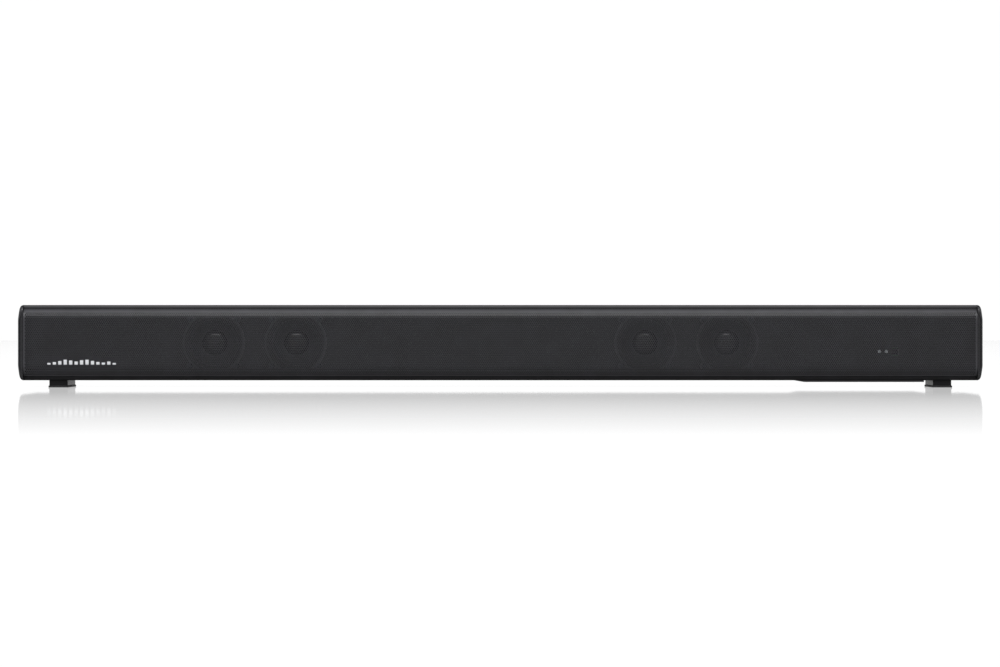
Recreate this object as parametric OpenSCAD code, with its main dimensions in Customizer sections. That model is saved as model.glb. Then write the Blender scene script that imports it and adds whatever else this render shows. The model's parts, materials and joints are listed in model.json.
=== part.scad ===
// Soundbar: a long two-channel loudspeaker, four drivers behind a perforated grille.
// The origin is the middle of the footprint, on the surface that the feet stand on.
// +X runs along the bar to its electronics end, +Y is its back and +Z is up.

/* [Case] */
// Overall length, over both end caps
bar_l = 940; // [920:1:1200]
// Overall depth, front to back
bar_d = 73; // [68:0.5:110]
// Height of the case, without its feet
body_h = 73.5; // [72:0.5:110]
// Thickness of the top panel
top_wall = 3.6; // [2.8:0.1:4.4]
// Thickness of the base panel
base_wall = 3.5; // [2.8:0.1:4.4]
// Thickness of the rear panel
rear_wall = 3; // [2.5:0.1:4]
// Radius of the long edges of the top and base panels
panel_edge_r = 2; // [0.5:0.1:2.5]
// Thickness of the two chamber walls
partition_t = 3; // [2:0.1:4]
// Length of the electronics bay, from the right end of the case to its chamber wall
bay_l = 179; // [175:1:190]

/* [End caps] */
// Thickness of an end cap at its middle
cap_t = 5; // [4.2:0.1:7]
// How far an end cap falls back towards its top and base edges
cap_fall = 1.9; // [0.5:0.1:2.4]
// Height of the sloping band along those edges
cap_slope_h = 13.8; // [8:0.1:18]
// Radius of the top and base edges of an end cap
cap_edge_r = 2.6; // [1:0.1:2.8]
// Radius of its two front corners, seen from the end
cap_front_r = 7; // [3:0.1:9]
// Radius of its two rear corners, seen from the end
cap_rear_r = 4; // [2:0.1:6]
// How far an end cap stands proud of the case at the front and the back
cap_proud = 0.5; // [0.5:0.1:1.5]
// Length of the rim that an end cap reaches into the case
cap_rim_l = 6; // [4:0.5:8]

/* [Grille] */
// Thickness of the grille sheet
sheet_t = 0.8; // [0.5:0.05:1.2]
// Outer radius of the bend along its long edges
bend_r = 12; // [9:0.5:14]
// Angle of that bend
bend_a = 55; // [45:1:65]
// Gap between the grille and the case around it
grille_gap = 0.4; // [0.3:0.05:0.6]
// Front of the grille to the front of the baffle
grille_to_baffle = 8.5; // [8:0.1:12]
// Thickness of the rails behind the bent edges
rail_t = 2; // [1.4:0.1:2.4]
// Radius of the pegs that hold the rails in the baffle
peg_r = 2; // [1.5:0.1:2.2]

/* [Baffle and drivers] */
// Thickness of the baffle
baffle_t = 4; // [3:0.1:6]
// Middle of the left pair of drivers
left_pair_x = -240; // [-250:1:-230]
// Middle of the right pair of drivers
right_pair_x = 182; // [170:1:190]
// Distance between the two drivers of a pair
pair_pitch = 80; // [76:0.5:84]
// Outer radius of a driver's flange
flange_r = 30.25; // [29.5:0.05:31.5]
// Thickness of that flange
flange_t = 2; // [1.6:0.1:2.5]
// Radius of the circle of its screws
ear_circle_r = 32.2; // [31.5:0.1:33.5]
// Outer radius of the cone
cone_r = 22.6; // [21.5:0.1:23]
// Radius of the dust cap
dust_cap_r = 12.4; // [11.5:0.1:13.5]
// Depth of the basket behind the baffle's front
basket_depth = 20; // [19:0.5:24]
// Radius of the ring magnet
magnet_r = 18; // [15:0.5:20]
// Thickness of the ring magnet
magnet_t = 10; // [8:0.5:14]
// Travel of the cone, each way
cone_travel = 2; // [1:0.1:2]

/* [Ports] */
// Inner radius of a bass port
port_r = 14; // [10:0.5:16]
// Wall of a bass port
port_wall = 2; // [1.5:0.1:3]
// Length of a bass port
port_l = 38; // [30:1:42]

/* [Feet] */
// Height of the feet, from the floor to the case
foot_h = 7; // [6.4:0.1:12]
// Width of a foot along the bar
foot_w = 18; // [16:0.5:22]
// Length of a foot, front to back
foot_l = 43; // [38:1:50]
// Middle of a foot, from the end of the bar
foot_inset = 38; // [36:0.5:44]
// Thickness of its rubber pad
pad_t = 1.8; // [1.2:0.1:2.2]
// How far the pad stands out around the foot
pad_proud = 0.8; // [0.4:0.1:1.2]

/* [Bay cover] */
// Thickness of the cover under the electronics bay
cover_t = 1.7; // [1.5:0.1:2.2]
// Length of the cover along the bar
cover_l = 126; // [110:1:127]
// Depth of the cover, front to back
cover_d = 58; // [54:1:60]

/* [Controls and sockets] */
// Radius of a push button
button_r = 4; // [3:0.1:4.4]
// Distance between two buttons
button_pitch = 12; // [11.5:0.1:13]
// Travel of a button
button_travel = 0.6; // [0.3:0.1:0.6]
// Radius of the bore of the aux jack
jack_r = 1.8; // [1.76:0.01:1.9]
// Radius of a pin of the mains inlet
inlet_pin_r = 1.2; // [1:0.05:1.3]
// Side of the mouth of the optical socket
optical_w = 6.6; // [6.4:0.1:7]
// Distance between the wall bracket holes along the bar
bracket_x = 520; // [500:1:530]
// Distance between the wall bracket holes up the back
bracket_z = 36; // [30:1:40]
// Radius of a wall bracket hole
bracket_r = 2; // [1.5:0.1:2.5]

/* [Fasteners] */
// Radius of a screw's shank
screw_r = 1.25; // [1:0.05:1.4]
// Radius of a screw's head
head_r = 2.8; // [2.2:0.1:2.8]
// Height of a screw's head
head_h = 1.4; // [1:0.1:1.6]

/* [Hidden] */
$fn = 96;

// The case, from its outside in
bar_end = bar_l / 2;
case_end = bar_end - cap_t;
base_z = foot_h;
top_z = foot_h + body_h;
inner_base_z = base_z + base_wall;
inner_top_z = top_z - top_wall;
mid_z = (inner_base_z + inner_top_z) / 2;
front_y = -bar_d / 2;
back_y = bar_d / 2;
grille_y = front_y + cap_proud;
panel_back_y = back_y - cap_proud;
rear_inner_y = panel_back_y - rear_wall;
bend_back = bend_r * (1 - cos(bend_a));
bend_h = bend_r * sin(bend_a);
panel_front_y = grille_y + bend_back;
baffle_y = grille_y + grille_to_baffle;
baffle_back_y = baffle_y + baffle_t;
bay_x = case_end - bay_l;
centre_x = (bay_x - case_end) / 2;

// The drivers, from left to right
driver_x = [
    left_pair_x - pair_pitch / 2, left_pair_x + pair_pitch / 2,
    right_pair_x - pair_pitch / 2, right_pair_x + pair_pitch / 2
];
ear_r = 3.6;
ear_hole_r = screw_r + 0.35;
pilot_r = screw_r + 0.05;
clear_r = screw_r + 0.4;
basket_r = flange_r - 2.95;
basket_wall = 1;
ledge_r = basket_r - 7.9;
plate_t = 3;
cone_neck_r = 7.4;
former_wall = 0.4;
coil_gap = 0.3;
former_end_z = -basket_depth - 9;
cone_rim_z = flange_t - 0.8 - cone_travel;
spider_z = -basket_depth + 6;

// Bosses, pegs and screws along the bar
boss_w = 8;
boss_d = 10;
boss_h = 7;
boss_inset = 20;
boss_x = [
    -case_end + boss_inset, left_pair_x - pair_pitch / 2 - 60, left_pair_x + pair_pitch / 2 + 55,
    right_pair_x - pair_pitch / 2 - 60, bay_x + 12, case_end - boss_inset
];
boss_z = [inner_base_z + 3.8, inner_top_z - 3.8];
peg_x = [
    -case_end + boss_inset + 12, left_pair_x - pair_pitch / 2 - 46, left_pair_x + pair_pitch / 2 + 69,
    right_pair_x - pair_pitch / 2 - 46, bay_x + 26, case_end - boss_inset - 12
];
peg_clearance = 0.05;
baffle_screw_l = baffle_t + 6;
driver_screw_l = flange_t + baffle_t + 1;
rear_screw_l = 8;
head_recess = head_h + 0.1;

// Feet, the cap blocks and the bay cover
foot_y = -6.5;
foot_x = bar_end - foot_inset;
foot_screw_y = [foot_y - 11.5, foot_y + 11.5];
foot_boss_h = 4;
foot_screw_l = 8;
rim_wall = 2;
block_w = 10;
block_d = 12;
block_h = 7;
block_y = [baffle_back_y + 0.3 + block_d / 2, rear_inner_y - 0.3 - block_d / 2];
cap_screw_x = case_end - 5;
cap_screw_l = 8;
cover_x0 = bay_x + 2;
cover_x1 = cover_x0 + cover_l;
cover_y = 1;
cover_bevel = 9;
cover_screw_x = [cover_x0 + 14, cover_x1 - 8];
cover_screw_y = [cover_y - cover_d / 2 + 5, cover_y + cover_d / 2 - 5];
cover_screw_l = 6;

// Ports and the bay's boards
port_x = [-case_end + 65, centre_x + 60];
port_flange_r = port_r + port_wall + 3;
port_flange_t = 1.2;
port_flare_r = 3;
board_t = 1.6;
board_z = inner_base_z + 7.5;
board_top_z = board_z + board_t;
board_y0 = -12;
board_d = 42;
power_x0 = bay_x + 8;
power_l = 78;
amp_x0 = bay_x + 94;
amp_l = 64;
standoff_r = 2.9;
board_screws = [
    [power_x0 + 4, board_y0 + 8], [power_x0 + power_l - 4, board_y0 + 8],
    [power_x0 + 4, board_y0 + 32], [power_x0 + power_l - 4, board_y0 + 32],
    [amp_x0 + 6, board_y0 + 8], [amp_x0 + amp_l - 8, board_y0 + 8],
    [amp_x0 + 6, board_y0 + 32], [amp_x0 + amp_l - 8, board_y0 + 32]
];
board_screw_l = 6;
service_x0 = bay_x + 17;
service_l = 60;
service_d = 38;

// Front lights and receiver
light_x = [bar_end - 99.6, bar_end - 92.5];
light_z = 35;
light_r = 1.5;
receiver_x = bar_end - 84;
display_y = baffle_back_y + 1.6;
display_x0 = bar_end - 108;
display_l = 34;
display_h = 16;

// Right end cap: buttons, their switches and the board behind them
button_clearance = 0.2;
button_y = 0;
button_z = [for (i = [0 : 3]) mid_z + (i - 1.5) * button_pitch];
button_seat_x = case_end - 0.3;
button_flange_t = 1;
button_flange_r = button_r + 0.9;
switch_top_x = button_seat_x - button_flange_t - button_travel - 0.1;
control_x = case_end - 7.6;
control_l = 28;
control_h = 50;
post_y = [-10, 10];
post_r = 3;

// Rear sockets
inlet_x = bay_x + 59;
inlet_z = mid_z + 16.3;
inlet_w = 20;
inlet_h = 13;
inlet_d = 17;
inlet_cavity_w = 15.6;
inlet_cavity_h = 8.4;
inlet_cavity_d = 13;
inlet_pin_pitch = 8.6;
inlet_flange_w = 30;
inlet_flange_h = 18;
inlet_flange_t = 1.8;
optical_x = amp_x0 + 16;
optical_z = board_top_z + 5.4;
optical_body_w = 10;
optical_body_d = 14;
optical_depth = 11;
flap_t = 0.8;
flap_gap = 0.15;
flap_pin_r = 0.5;
jack_x = amp_x0 + 38;
jack_z = board_top_z + 5;
jack_w = 10;
jack_d = 15;
jack_barrel_r = 4;
jack_bore_l = 14;

// Speaker leads: the left lead runs in the lower lane and the right lead above it
lead_d = 2.4;
lead_sides = 8;
lead_y = board_y0 + 1.8;
lead_hole_r = 1.5;
lane_z = [inner_base_z + 1.9, inner_base_z + 5.3];

// Badge: a row of small level bars on the grille
badge_x0 = -bar_end + 29;
badge_z0 = 22.4;
badge_bar_w = 3.2;
badge_pitch = 5.3;
badge_t = 0.5;
badge_heights = [1.6, 2.4, 3.4, 4.7, 4, 3, 4.2, 4.7, 3.6, 2.6, 2, 3, 1.6];

glue = 0.1;

// ---- helpers ----

module corner_2d(r) {
    difference() {
        translate([-1, -1]) square(r + 1);
        translate([r, r]) circle(r);
    }
}

// A rectangle with its own radius at each corner, in the order of its corners
module rounded_2d(x0, y0, x1, y1, radii) {
    difference() {
        translate([x0, y0]) square([x1 - x0, y1 - y0]);
        if (radii[0] > 0) translate([x0, y0]) corner_2d(radii[0]);
        if (radii[1] > 0) translate([x1, y0]) mirror([1, 0]) corner_2d(radii[1]);
        if (radii[2] > 0) translate([x1, y1]) mirror([1, 0]) mirror([0, 1]) corner_2d(radii[2]);
        if (radii[3] > 0) translate([x0, y1]) mirror([0, 1]) corner_2d(radii[3]);
    }
}

// Draws a shape of Y and Z and runs it along X
module along_x(x0, x1) {
    translate([x0, 0, 0]) rotate([90, 0, 90]) linear_extrude(x1 - x0) children();
}

// A rod from y0 to y1
module rod_y(x, z, r, y0, y1) {
    translate([x, y1, z]) rotate([90, 0, 0]) cylinder(h = y1 - y0, r = r);
}

module rod_x(y, z, r, x0, x1) {
    translate([x0, y, z]) rotate([0, 90, 0]) cylinder(h = x1 - x0, r = r);
}

module block(x0, x1, y0, y1, z0, z1) {
    translate([x0, y0, z0]) cube([x1 - x0, y1 - y0, z1 - z0]);
}

// Local +Z points out of the front, with its origin on the baffle
module at_driver(i) {
    translate([driver_x[i], baffle_y, mid_z]) rotate([90, 0, 0]) children();
}

// A pan-head screw that points down -Z from its seat
module screw(l) {
    cylinder(h = head_h, r = head_r);
    translate([0, 0, -l]) cylinder(h = l + 0.2, r = screw_r);
}

// ---- case ----

// One row of the bosses that take the baffle's and the rear panel's screws
module bosses(z0, z1, hole_z) {
    for (x = boss_x) {
        difference() {
            block(x - boss_w / 2, x + boss_w / 2, baffle_back_y, baffle_back_y + boss_d, z0, z1);
            rod_y(x, hole_z, pilot_r, baffle_back_y - 1, baffle_back_y + boss_d - 2);
        }
        difference() {
            block(x - boss_w / 2, x + boss_w / 2, rear_inner_y - boss_d, rear_inner_y, z0, z1);
            rod_y(x, hole_z, pilot_r, rear_inner_y - boss_d + 2, rear_inner_y + 1);
        }
    }
}

module top_panel() {
    color("#1b1b1d") {
        along_x(-case_end, case_end)
            rounded_2d(panel_front_y, inner_top_z, panel_back_y, top_z,
                [0, 0, panel_edge_r, panel_edge_r]);
        bosses(inner_top_z - boss_h, inner_top_z + 0.5, boss_z[1]);
    }
}

module base_panel() {
    color("#1b1b1d") difference() {
        union() {
            along_x(-case_end, case_end)
                rounded_2d(panel_front_y, base_z, panel_back_y, inner_base_z,
                    [panel_edge_r, panel_edge_r, 0, 0]);
            bosses(inner_base_z - 0.5, inner_base_z + boss_h, boss_z[0]);
            for (side = [-1, 1], y = foot_screw_y)
                translate([side * foot_x, y, base_z]) cylinder(h = base_wall + foot_boss_h, r = 4);
            for (p = board_screws)
                translate([p[0], p[1], base_z]) cylinder(h = board_z - base_z, r = standoff_r);
        }
        for (side = [-1, 1], y = foot_screw_y)
            translate([side * foot_x, y, base_z - 1]) cylinder(h = base_wall + foot_boss_h, r = pilot_r);
        for (p = board_screws)
            translate([p[0], p[1], board_z - 5.5]) cylinder(h = 6, r = pilot_r);
        for (side = [-1, 1], y = block_y) {
            translate([side * cap_screw_x, y, base_z - 1]) cylinder(h = base_wall + 2, r = clear_r);
            translate([side * cap_screw_x, y, base_z - 1]) cylinder(h = head_recess + 1, r = head_r + 0.2);
        }
        for (x = cover_screw_x, y = cover_screw_y)
            translate([x, y, base_z - 1]) cylinder(h = base_wall + 2, r = pilot_r);
        block(service_x0, service_x0 + service_l, cover_y - service_d / 2, cover_y + service_d / 2,
            base_z - 1, inner_base_z + 1);
    }
}

module rear_panel() {
    color("#1d1d1f") difference() {
        union() {
            block(-case_end, case_end, rear_inner_y, panel_back_y, inner_base_z, inner_top_z);
            for (sx = [-1, 1], sz = [-1, 1])
                rod_y(sx * bracket_x / 2, mid_z + sz * bracket_z / 2, bracket_r + 2.5,
                    rear_inner_y - 9, rear_inner_y + 1);
        }
        for (sx = [-1, 1], sz = [-1, 1])
            rod_y(sx * bracket_x / 2, mid_z + sz * bracket_z / 2, bracket_r,
                rear_inner_y - 7, panel_back_y + 1);
        for (x = boss_x, z = boss_z) {
            rod_y(x, z, clear_r, rear_inner_y - 1, panel_back_y + 1);
            rod_y(x, z, head_r + 0.2, panel_back_y - head_recess, panel_back_y + 1);
        }
        for (x = port_x) {
            rod_y(x, mid_z, port_r + port_wall + glue, rear_inner_y - 1, panel_back_y + 1);
            rod_y(x, mid_z, port_flange_r + glue, panel_back_y - port_flange_t, panel_back_y + 1);
        }
        block(inlet_x - inlet_w / 2 - glue, inlet_x + inlet_w / 2 + glue, rear_inner_y - 1, panel_back_y + 1,
            inlet_z - inlet_h / 2 - glue, inlet_z + inlet_h / 2 + glue);
        block(inlet_x - inlet_flange_w / 2 - glue, inlet_x + inlet_flange_w / 2 + glue,
            panel_back_y - inlet_flange_t, panel_back_y + 1,
            inlet_z - inlet_flange_h / 2 - glue, inlet_z + inlet_flange_h / 2 + glue);
        block(optical_x - optical_body_w / 2 - glue, optical_x + optical_body_w / 2 + glue,
            rear_inner_y - 1, panel_back_y + 1,
            optical_z - optical_body_w / 2 - glue, optical_z + optical_body_w / 2 + glue);
        rod_y(jack_x, jack_z, jack_barrel_r + glue, rear_inner_y - 1, panel_back_y + 1);
    }
}

module front_baffle() {
    color("#101012") difference() {
        block(-case_end, case_end, baffle_y, baffle_back_y, inner_base_z, inner_top_z);
        for (i = [0 : 3]) at_driver(i) {
            translate([0, 0, -baffle_t - 1]) cylinder(h = baffle_t + 2, r = basket_r + 0.3);
            for (a = [45 : 90 : 315]) rotate(a) translate([ear_circle_r, 0, -baffle_t - 1])
                cylinder(h = baffle_t + 2, r = pilot_r);
        }
        for (x = boss_x, z = boss_z) rod_y(x, z, clear_r, baffle_y - 1, baffle_back_y + 1);
        for (x = peg_x, z = peg_z) rod_y(x, z, peg_r + peg_clearance, baffle_y - 1, baffle_back_y + 1);
        for (x = light_x) rod_y(x, light_z, light_r + 0.25, baffle_y - 1, baffle_back_y + 1);
        block(receiver_x - 3.2, receiver_x + 3.2, baffle_y - 1, baffle_back_y + 1,
            light_z - 3.7, light_z + 3.7);
    }
}

// A chamber wall, with a hole for each lead that passes it
module partition(x, lanes) {
    difference() {
        block(x - partition_t / 2, x + partition_t / 2, baffle_back_y, rear_inner_y,
            inner_base_z, inner_top_z);
        for (z = lanes) rod_x(lead_y, z, lead_hole_r, x - partition_t, x + partition_t);
    }
}

module centre_partition() {
    color("#202022") partition(centre_x, [lane_z[0]]);
}

module bay_partition() {
    color("#202022") partition(bay_x, lane_z);
}

// ---- end caps ----

// The cap's outline seen from the front: flat in the middle, falling back to its top and base edges
module cap_front_2d() {
    x_edge = bar_end - cap_fall;
    slope_a = atan(cap_fall / cap_slope_h);
    arc_a = 90 - slope_a;
    function edge_arc(n) = [for (i = [0 : n])
        let (a = slope_a + arc_a * i / n)
        [x_edge - cap_edge_r + cap_edge_r * cos(a), cap_edge_r - cap_edge_r * sin(a)]];
    low = edge_arc(8);
    high = [for (p = low) [p[0], body_h - p[1]]];
    n_low = len(low);
    polygon(concat(
        [[case_end, 0], [case_end, body_h]],
        [for (i = [n_low - 1 : -1 : 0]) high[i]],
        [[bar_end, body_h - cap_slope_h], [bar_end, cap_slope_h]],
        low
    ));
}

// The cap's outline seen from the end
module cap_side_2d() {
    rounded_2d(front_y, base_z, back_y, top_z, [cap_front_r, cap_rear_r, cap_rear_r, cap_front_r]);
}

// The cap's outline seen from above, with its front and rear edges rounded off
module cap_top_2d() {
    rounded_2d(case_end - cap_t - 4, front_y, bar_end, back_y, [0, cap_edge_r, cap_edge_r, 0]);
}

// The rim that reaches into the case, with two blocks for the screws that come up through the base
module cap_rim() {
    x0 = case_end - cap_rim_l;
    difference() {
        union() {
            difference() {
                block(x0, case_end, baffle_back_y + 0.2, rear_inner_y - 0.2,
                    inner_base_z + glue, inner_top_z - glue);
                block(x0 - 1, case_end, baffle_back_y + 0.2 + rim_wall, rear_inner_y - 0.2 - rim_wall,
                    inner_base_z + glue + rim_wall, inner_top_z - glue - rim_wall);
            }
            for (y = block_y)
                block(case_end - block_w, case_end, y - block_d / 2, y + block_d / 2, inner_base_z + glue,
                    inner_base_z + block_h);
        }
        for (y = block_y)
            translate([cap_screw_x, y, inner_base_z - 1]) cylinder(h = block_h, r = pilot_r);
    }
}

module cap_shell() {
    intersection() {
        translate([0, back_y + 1, base_z]) rotate([90, 0, 0]) linear_extrude(bar_d + 2) cap_front_2d();
        along_x(case_end, bar_end + 1) cap_side_2d();
        linear_extrude(top_z + 1) cap_top_2d();
    }
}

module end_cap_left() {
    color("#232325") mirror([1, 0, 0]) {
        cap_shell();
        cap_rim();
    }
}

module end_cap_right() {
    color("#232325") difference() {
        union() {
            cap_shell();
            cap_rim();
            for (y = post_y) rod_x(y, mid_z, post_r, control_x + board_t, case_end);
        }
        for (z = button_z)
            rod_x(button_y, z, button_r + button_clearance, case_end - 1, bar_end + 1);
        for (y = post_y) rod_x(y, mid_z, pilot_r, control_x, case_end - 1);
    }
}

// ---- grille ----

bend_y = grille_y + bend_r;
bend_z = [inner_base_z + grille_gap + bend_h, inner_top_z - grille_gap - bend_h];
rail_mid_r = bend_r - sheet_t - glue - rail_t / 2;
rail_a0 = 16;
rail_a1 = bend_a - 4;
peg_a = 34;
peg_z = [bend_z[0] - rail_mid_r * sin(peg_a), bend_z[1] + rail_mid_r * sin(peg_a)];
peg_y = bend_y - rail_mid_r * cos(peg_a);

// A part of a ring between two angles above the forward direction
module bend_2d(r_out, r_in, a0, a1) {
    far = 3 * r_out;
    intersection() {
        difference() {
            circle(r_out);
            circle(r_in);
        }
        polygon(concat([[0, 0]], [for (a = [a0, (a0 + a1) / 2, a1]) far * [-cos(a), sin(a)]]));
    }
}

module both_bends() {
    translate([bend_y, bend_z[1]]) children();
    translate([bend_y, bend_z[0]]) mirror([0, 1]) children();
}

module grille() {
    color("#2c2c30") along_x(-case_end + 0.2, case_end - 0.2) {
        translate([grille_y, bend_z[0]]) square([sheet_t, bend_z[1] - bend_z[0]]);
        both_bends() bend_2d(bend_r, bend_r - sheet_t, 0, bend_a);
    }
}

// One rail and its pegs: side is 1 for the top rail and 0 for the bottom rail
module rail(side) {
    difference() {
        union() {
            along_x(-case_end + 3, case_end - 3) translate([bend_y, bend_z[side]]) mirror([0, 1 - side])
                bend_2d(rail_mid_r + rail_t / 2, rail_mid_r - rail_t / 2, rail_a0, rail_a1);
            for (x = peg_x) rod_y(x, peg_z[side], peg_r, peg_y, baffle_back_y);
        }
        along_x(-case_end, case_end) translate([bend_y, bend_z[side]]) difference() {
            circle(bend_r + 8);
            circle(rail_mid_r + rail_t / 2);
            translate([0, -50]) square([100, 100]);
        }
    }
}

module grille_top_rail() {
    color("#141416") rail(1);
}

module grille_bottom_rail() {
    color("#141416") rail(0);
}

module badge() {
    color("#b9bcc0") for (i = [0 : len(badge_heights) - 1])
        block(badge_x0 + i * badge_pitch, badge_x0 + i * badge_pitch + badge_bar_w,
            grille_y - badge_t, grille_y, badge_z0, badge_z0 + badge_heights[i]);
}

// ---- feet and bay cover ----

module foot(side) {
    difference() {
        translate([side * foot_x, foot_y, pad_t]) linear_extrude(foot_h - pad_t)
            rounded_2d(-foot_w / 2, -foot_l / 2, foot_w / 2, foot_l / 2, [2, 2, 2, 2]);
        for (y = foot_screw_y) {
            translate([side * foot_x, y, 0]) cylinder(h = foot_h + 1, r = clear_r);
            translate([side * foot_x, y, 0]) cylinder(h = pad_t + head_recess, r = head_r + 0.2);
        }
    }
}

module foot_pad(side) {
    translate([side * foot_x, foot_y, 0]) linear_extrude(pad_t)
        rounded_2d(-foot_w / 2 - pad_proud, -foot_l / 2 - pad_proud, foot_w / 2 + pad_proud,
            foot_l / 2 + pad_proud, [2.8, 2.8, 2.8, 2.8]);
}

module foot_left() {
    color("#131314") foot(-1);
}

module foot_right() {
    color("#131314") foot(1);
}

module foot_pad_left() {
    color("#0b0b0c") foot_pad(-1);
}

module foot_pad_right() {
    color("#0b0b0c") foot_pad(1);
}

module bay_cover() {
    color("#29292b") difference() {
        translate([0, cover_y + cover_d / 2, base_z]) rotate([90, 0, 0]) linear_extrude(cover_d)
            polygon([[cover_x0, 0], [cover_x0 + cover_bevel, -cover_t], [cover_x1, -cover_t], [cover_x1, 0]]);
        for (x = cover_screw_x, y = cover_screw_y) {
            translate([x, y, base_z - cover_t - 1]) cylinder(h = cover_t + 2, r = clear_r);
            translate([x, y, base_z - cover_t - 1]) cylinder(h = 2, r = head_r + 0.2);
        }
    }
}

// ---- drivers ----

module driver_basket(i) {
    at_driver(i) {
        difference() {
            union() {
                rotate_extrude() polygon([
                    [cone_neck_r + 1.2, -basket_depth], [magnet_r, -basket_depth],
                    [magnet_r, -basket_depth + 5],
                    [ledge_r + 0.9, -basket_depth + 5], [basket_r, -1.8], [basket_r, 0],
                    [flange_r, 0], [flange_r, flange_t], [basket_r - basket_wall, flange_t],
                    [basket_r - basket_wall, -1.5], [ledge_r, spider_z],
                    [magnet_r - basket_wall, spider_z],
                    [magnet_r - basket_wall, -basket_depth + basket_wall],
                    [cone_neck_r + 1.2, -basket_depth + basket_wall]
                ]);
                for (a = [45 : 90 : 315]) rotate(a) difference() {
                    translate([ear_circle_r, 0, 0]) cylinder(h = flange_t, r = ear_r);
                    translate([0, 0, -1]) cylinder(h = flange_t + 2, r = flange_r - 0.5);
                }
            }
            for (a = [45 : 90 : 315]) rotate(a) translate([ear_circle_r, 0, -1])
                cylinder(h = flange_t + 2, r = ear_hole_r);
            for (a = [0 : 90 : 270]) rotate(a) translate([basket_r - 9, -8, -basket_depth + 7])
                cube([14, 16, 7.5]);
        }
        translate([-2.5, -magnet_r - 4, -basket_depth + 1.5]) cube([5, 3.8, 1]);
    }
}

module driver_magnet(i) {
    at_driver(i) translate([0, 0, -basket_depth]) {
        translate([0, 0, -plate_t]) difference() {
            cylinder(h = plate_t, r = magnet_r - 3);
            translate([0, 0, -1]) cylinder(h = plate_t + 2, r = cone_neck_r + former_wall + coil_gap);
        }
        translate([0, 0, -plate_t - magnet_t]) difference() {
            cylinder(h = magnet_t, r = magnet_r);
            translate([0, 0, -1]) cylinder(h = magnet_t + 2, r = cone_neck_r + 2.6);
        }
        translate([0, 0, -2 * plate_t - magnet_t]) cylinder(h = plate_t, r = magnet_r - 1);
        translate([0, 0, -plate_t - magnet_t - 0.5])
            cylinder(h = magnet_t + plate_t + 0.5, r = cone_neck_r - coil_gap);
    }
}

module driver_cone(i) {
    neck_z = spider_z;
    at_driver(i) rotate_extrude() polygon([
        [cone_neck_r, former_end_z], [cone_neck_r + former_wall, former_end_z],
        [cone_neck_r + former_wall, neck_z], [cone_r - 0.8, cone_rim_z - 0.8], [cone_r, cone_rim_z - 0.8],
        [cone_r, cone_rim_z], [cone_r - 1.1, cone_rim_z], [cone_neck_r, neck_z + 0.8]
    ]);
}

// Height of the cone's front face at a radius
function cone_front_z(r) =
    spider_z + 0.8 + (r - cone_neck_r) * (cone_rim_z - spider_z - 0.8) / (cone_r - 1.1 - cone_neck_r);

module driver_dust_cap(i) {
    rise = 4.6;
    ball_r = (dust_cap_r * dust_cap_r + rise * rise) / (2 * rise);
    rim_z = cone_front_z(dust_cap_r) + 0.15;
    at_driver(i) intersection() {
        translate([0, 0, rim_z + rise - ball_r]) difference() {
            sphere(ball_r);
            sphere(ball_r - 0.5);
        }
        translate([0, 0, rim_z]) cylinder(h = rise + 1, r = dust_cap_r);
    }
}

// The surround, a half roll with a lip on the flange and a skirt down to the cone, and the spider
module driver_suspension(i) {
    roll_r = 1.95;
    wall = 0.45;
    skirt_r = cone_r - 0.15;
    roll_mid = skirt_r + roll_r;
    at_driver(i) {
        rotate_extrude() {
            translate([skirt_r, cone_rim_z + 0.05]) square([wall, flange_t - cone_rim_z + 0.2]);
            translate([skirt_r - 1, cone_rim_z + 0.05]) square([1 + wall, 0.4]);
            translate([roll_mid, flange_t + 0.2]) intersection() {
                difference() {
                    circle(roll_r);
                    circle(roll_r - wall);
                }
                translate([-roll_r - 1, 0]) square([2 * roll_r + 2, roll_r + 1]);
            }
            translate([roll_mid + roll_r - wall, flange_t]) square([2.4, 0.5]);
        }
        rotate_extrude() polygon([
            [cone_neck_r + former_wall + 0.1, spider_z - 2.8], [cone_neck_r + 2.4, spider_z - 2.8],
            [magnet_r - 1, spider_z], [ledge_r - 0.2, spider_z], [ledge_r - 0.2, spider_z + 0.4],
            [magnet_r - 1.2, spider_z + 0.4], [cone_neck_r + 2.2, spider_z - 2.4],
            [cone_neck_r + former_wall + 0.1, spider_z - 2.4]
        ]);
    }
}

module basket(i) {
    color("#2a2b2e") driver_basket(i);
}

module magnet(i) {
    color("#3a3b3e") driver_magnet(i);
}

module cone(i) {
    color("#18181a") driver_cone(i);
}

module dust_cap(i) {
    color("#1e1e22") driver_dust_cap(i);
}

module suspension(i) {
    color("#0f0f10") driver_suspension(i);
}

// ---- ports ----

module port(x) {
    outer_r = port_r + port_wall;
    color("#161618") translate([x, panel_back_y, mid_z]) rotate([90, 0, 0]) difference() {
        union() {
            cylinder(h = port_l, r = outer_r);
            cylinder(h = port_flange_t, r = port_flange_r);
        }
        translate([0, 0, -1]) cylinder(h = port_l + 2, r = port_r);
        rotate_extrude() translate([port_r - 0.5, -0.5]) difference() {
            square([port_flare_r + 0.5, port_flare_r + 0.5]);
            translate([port_flare_r + 0.5, port_flare_r + 0.5]) circle(port_flare_r);
        }
    }
}

module port_left() {
    port(port_x[0]);
}

module port_right() {
    port(port_x[1]);
}

// ---- electronics ----

module board_holes() {
    for (p = board_screws) translate([p[0], p[1], board_z - 1]) cylinder(h = board_t + 2, r = clear_r);
}

module power_board() {
    x1 = power_x0 + power_l;
    color("#2f6b3c") difference() {
        block(power_x0, x1, board_y0, board_y0 + board_d, board_z, board_top_z);
        board_holes();
    }
    color("#d8d4c8") block(x1 - 16, x1 - 8, board_y0 + 12, board_y0 + 20, board_top_z, board_top_z + 9);
    color("#202022") block(power_x0 + 28, power_x0 + 38, board_y0 + 36, board_y0 + 41, board_top_z,
        board_top_z + 9);
}

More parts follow.
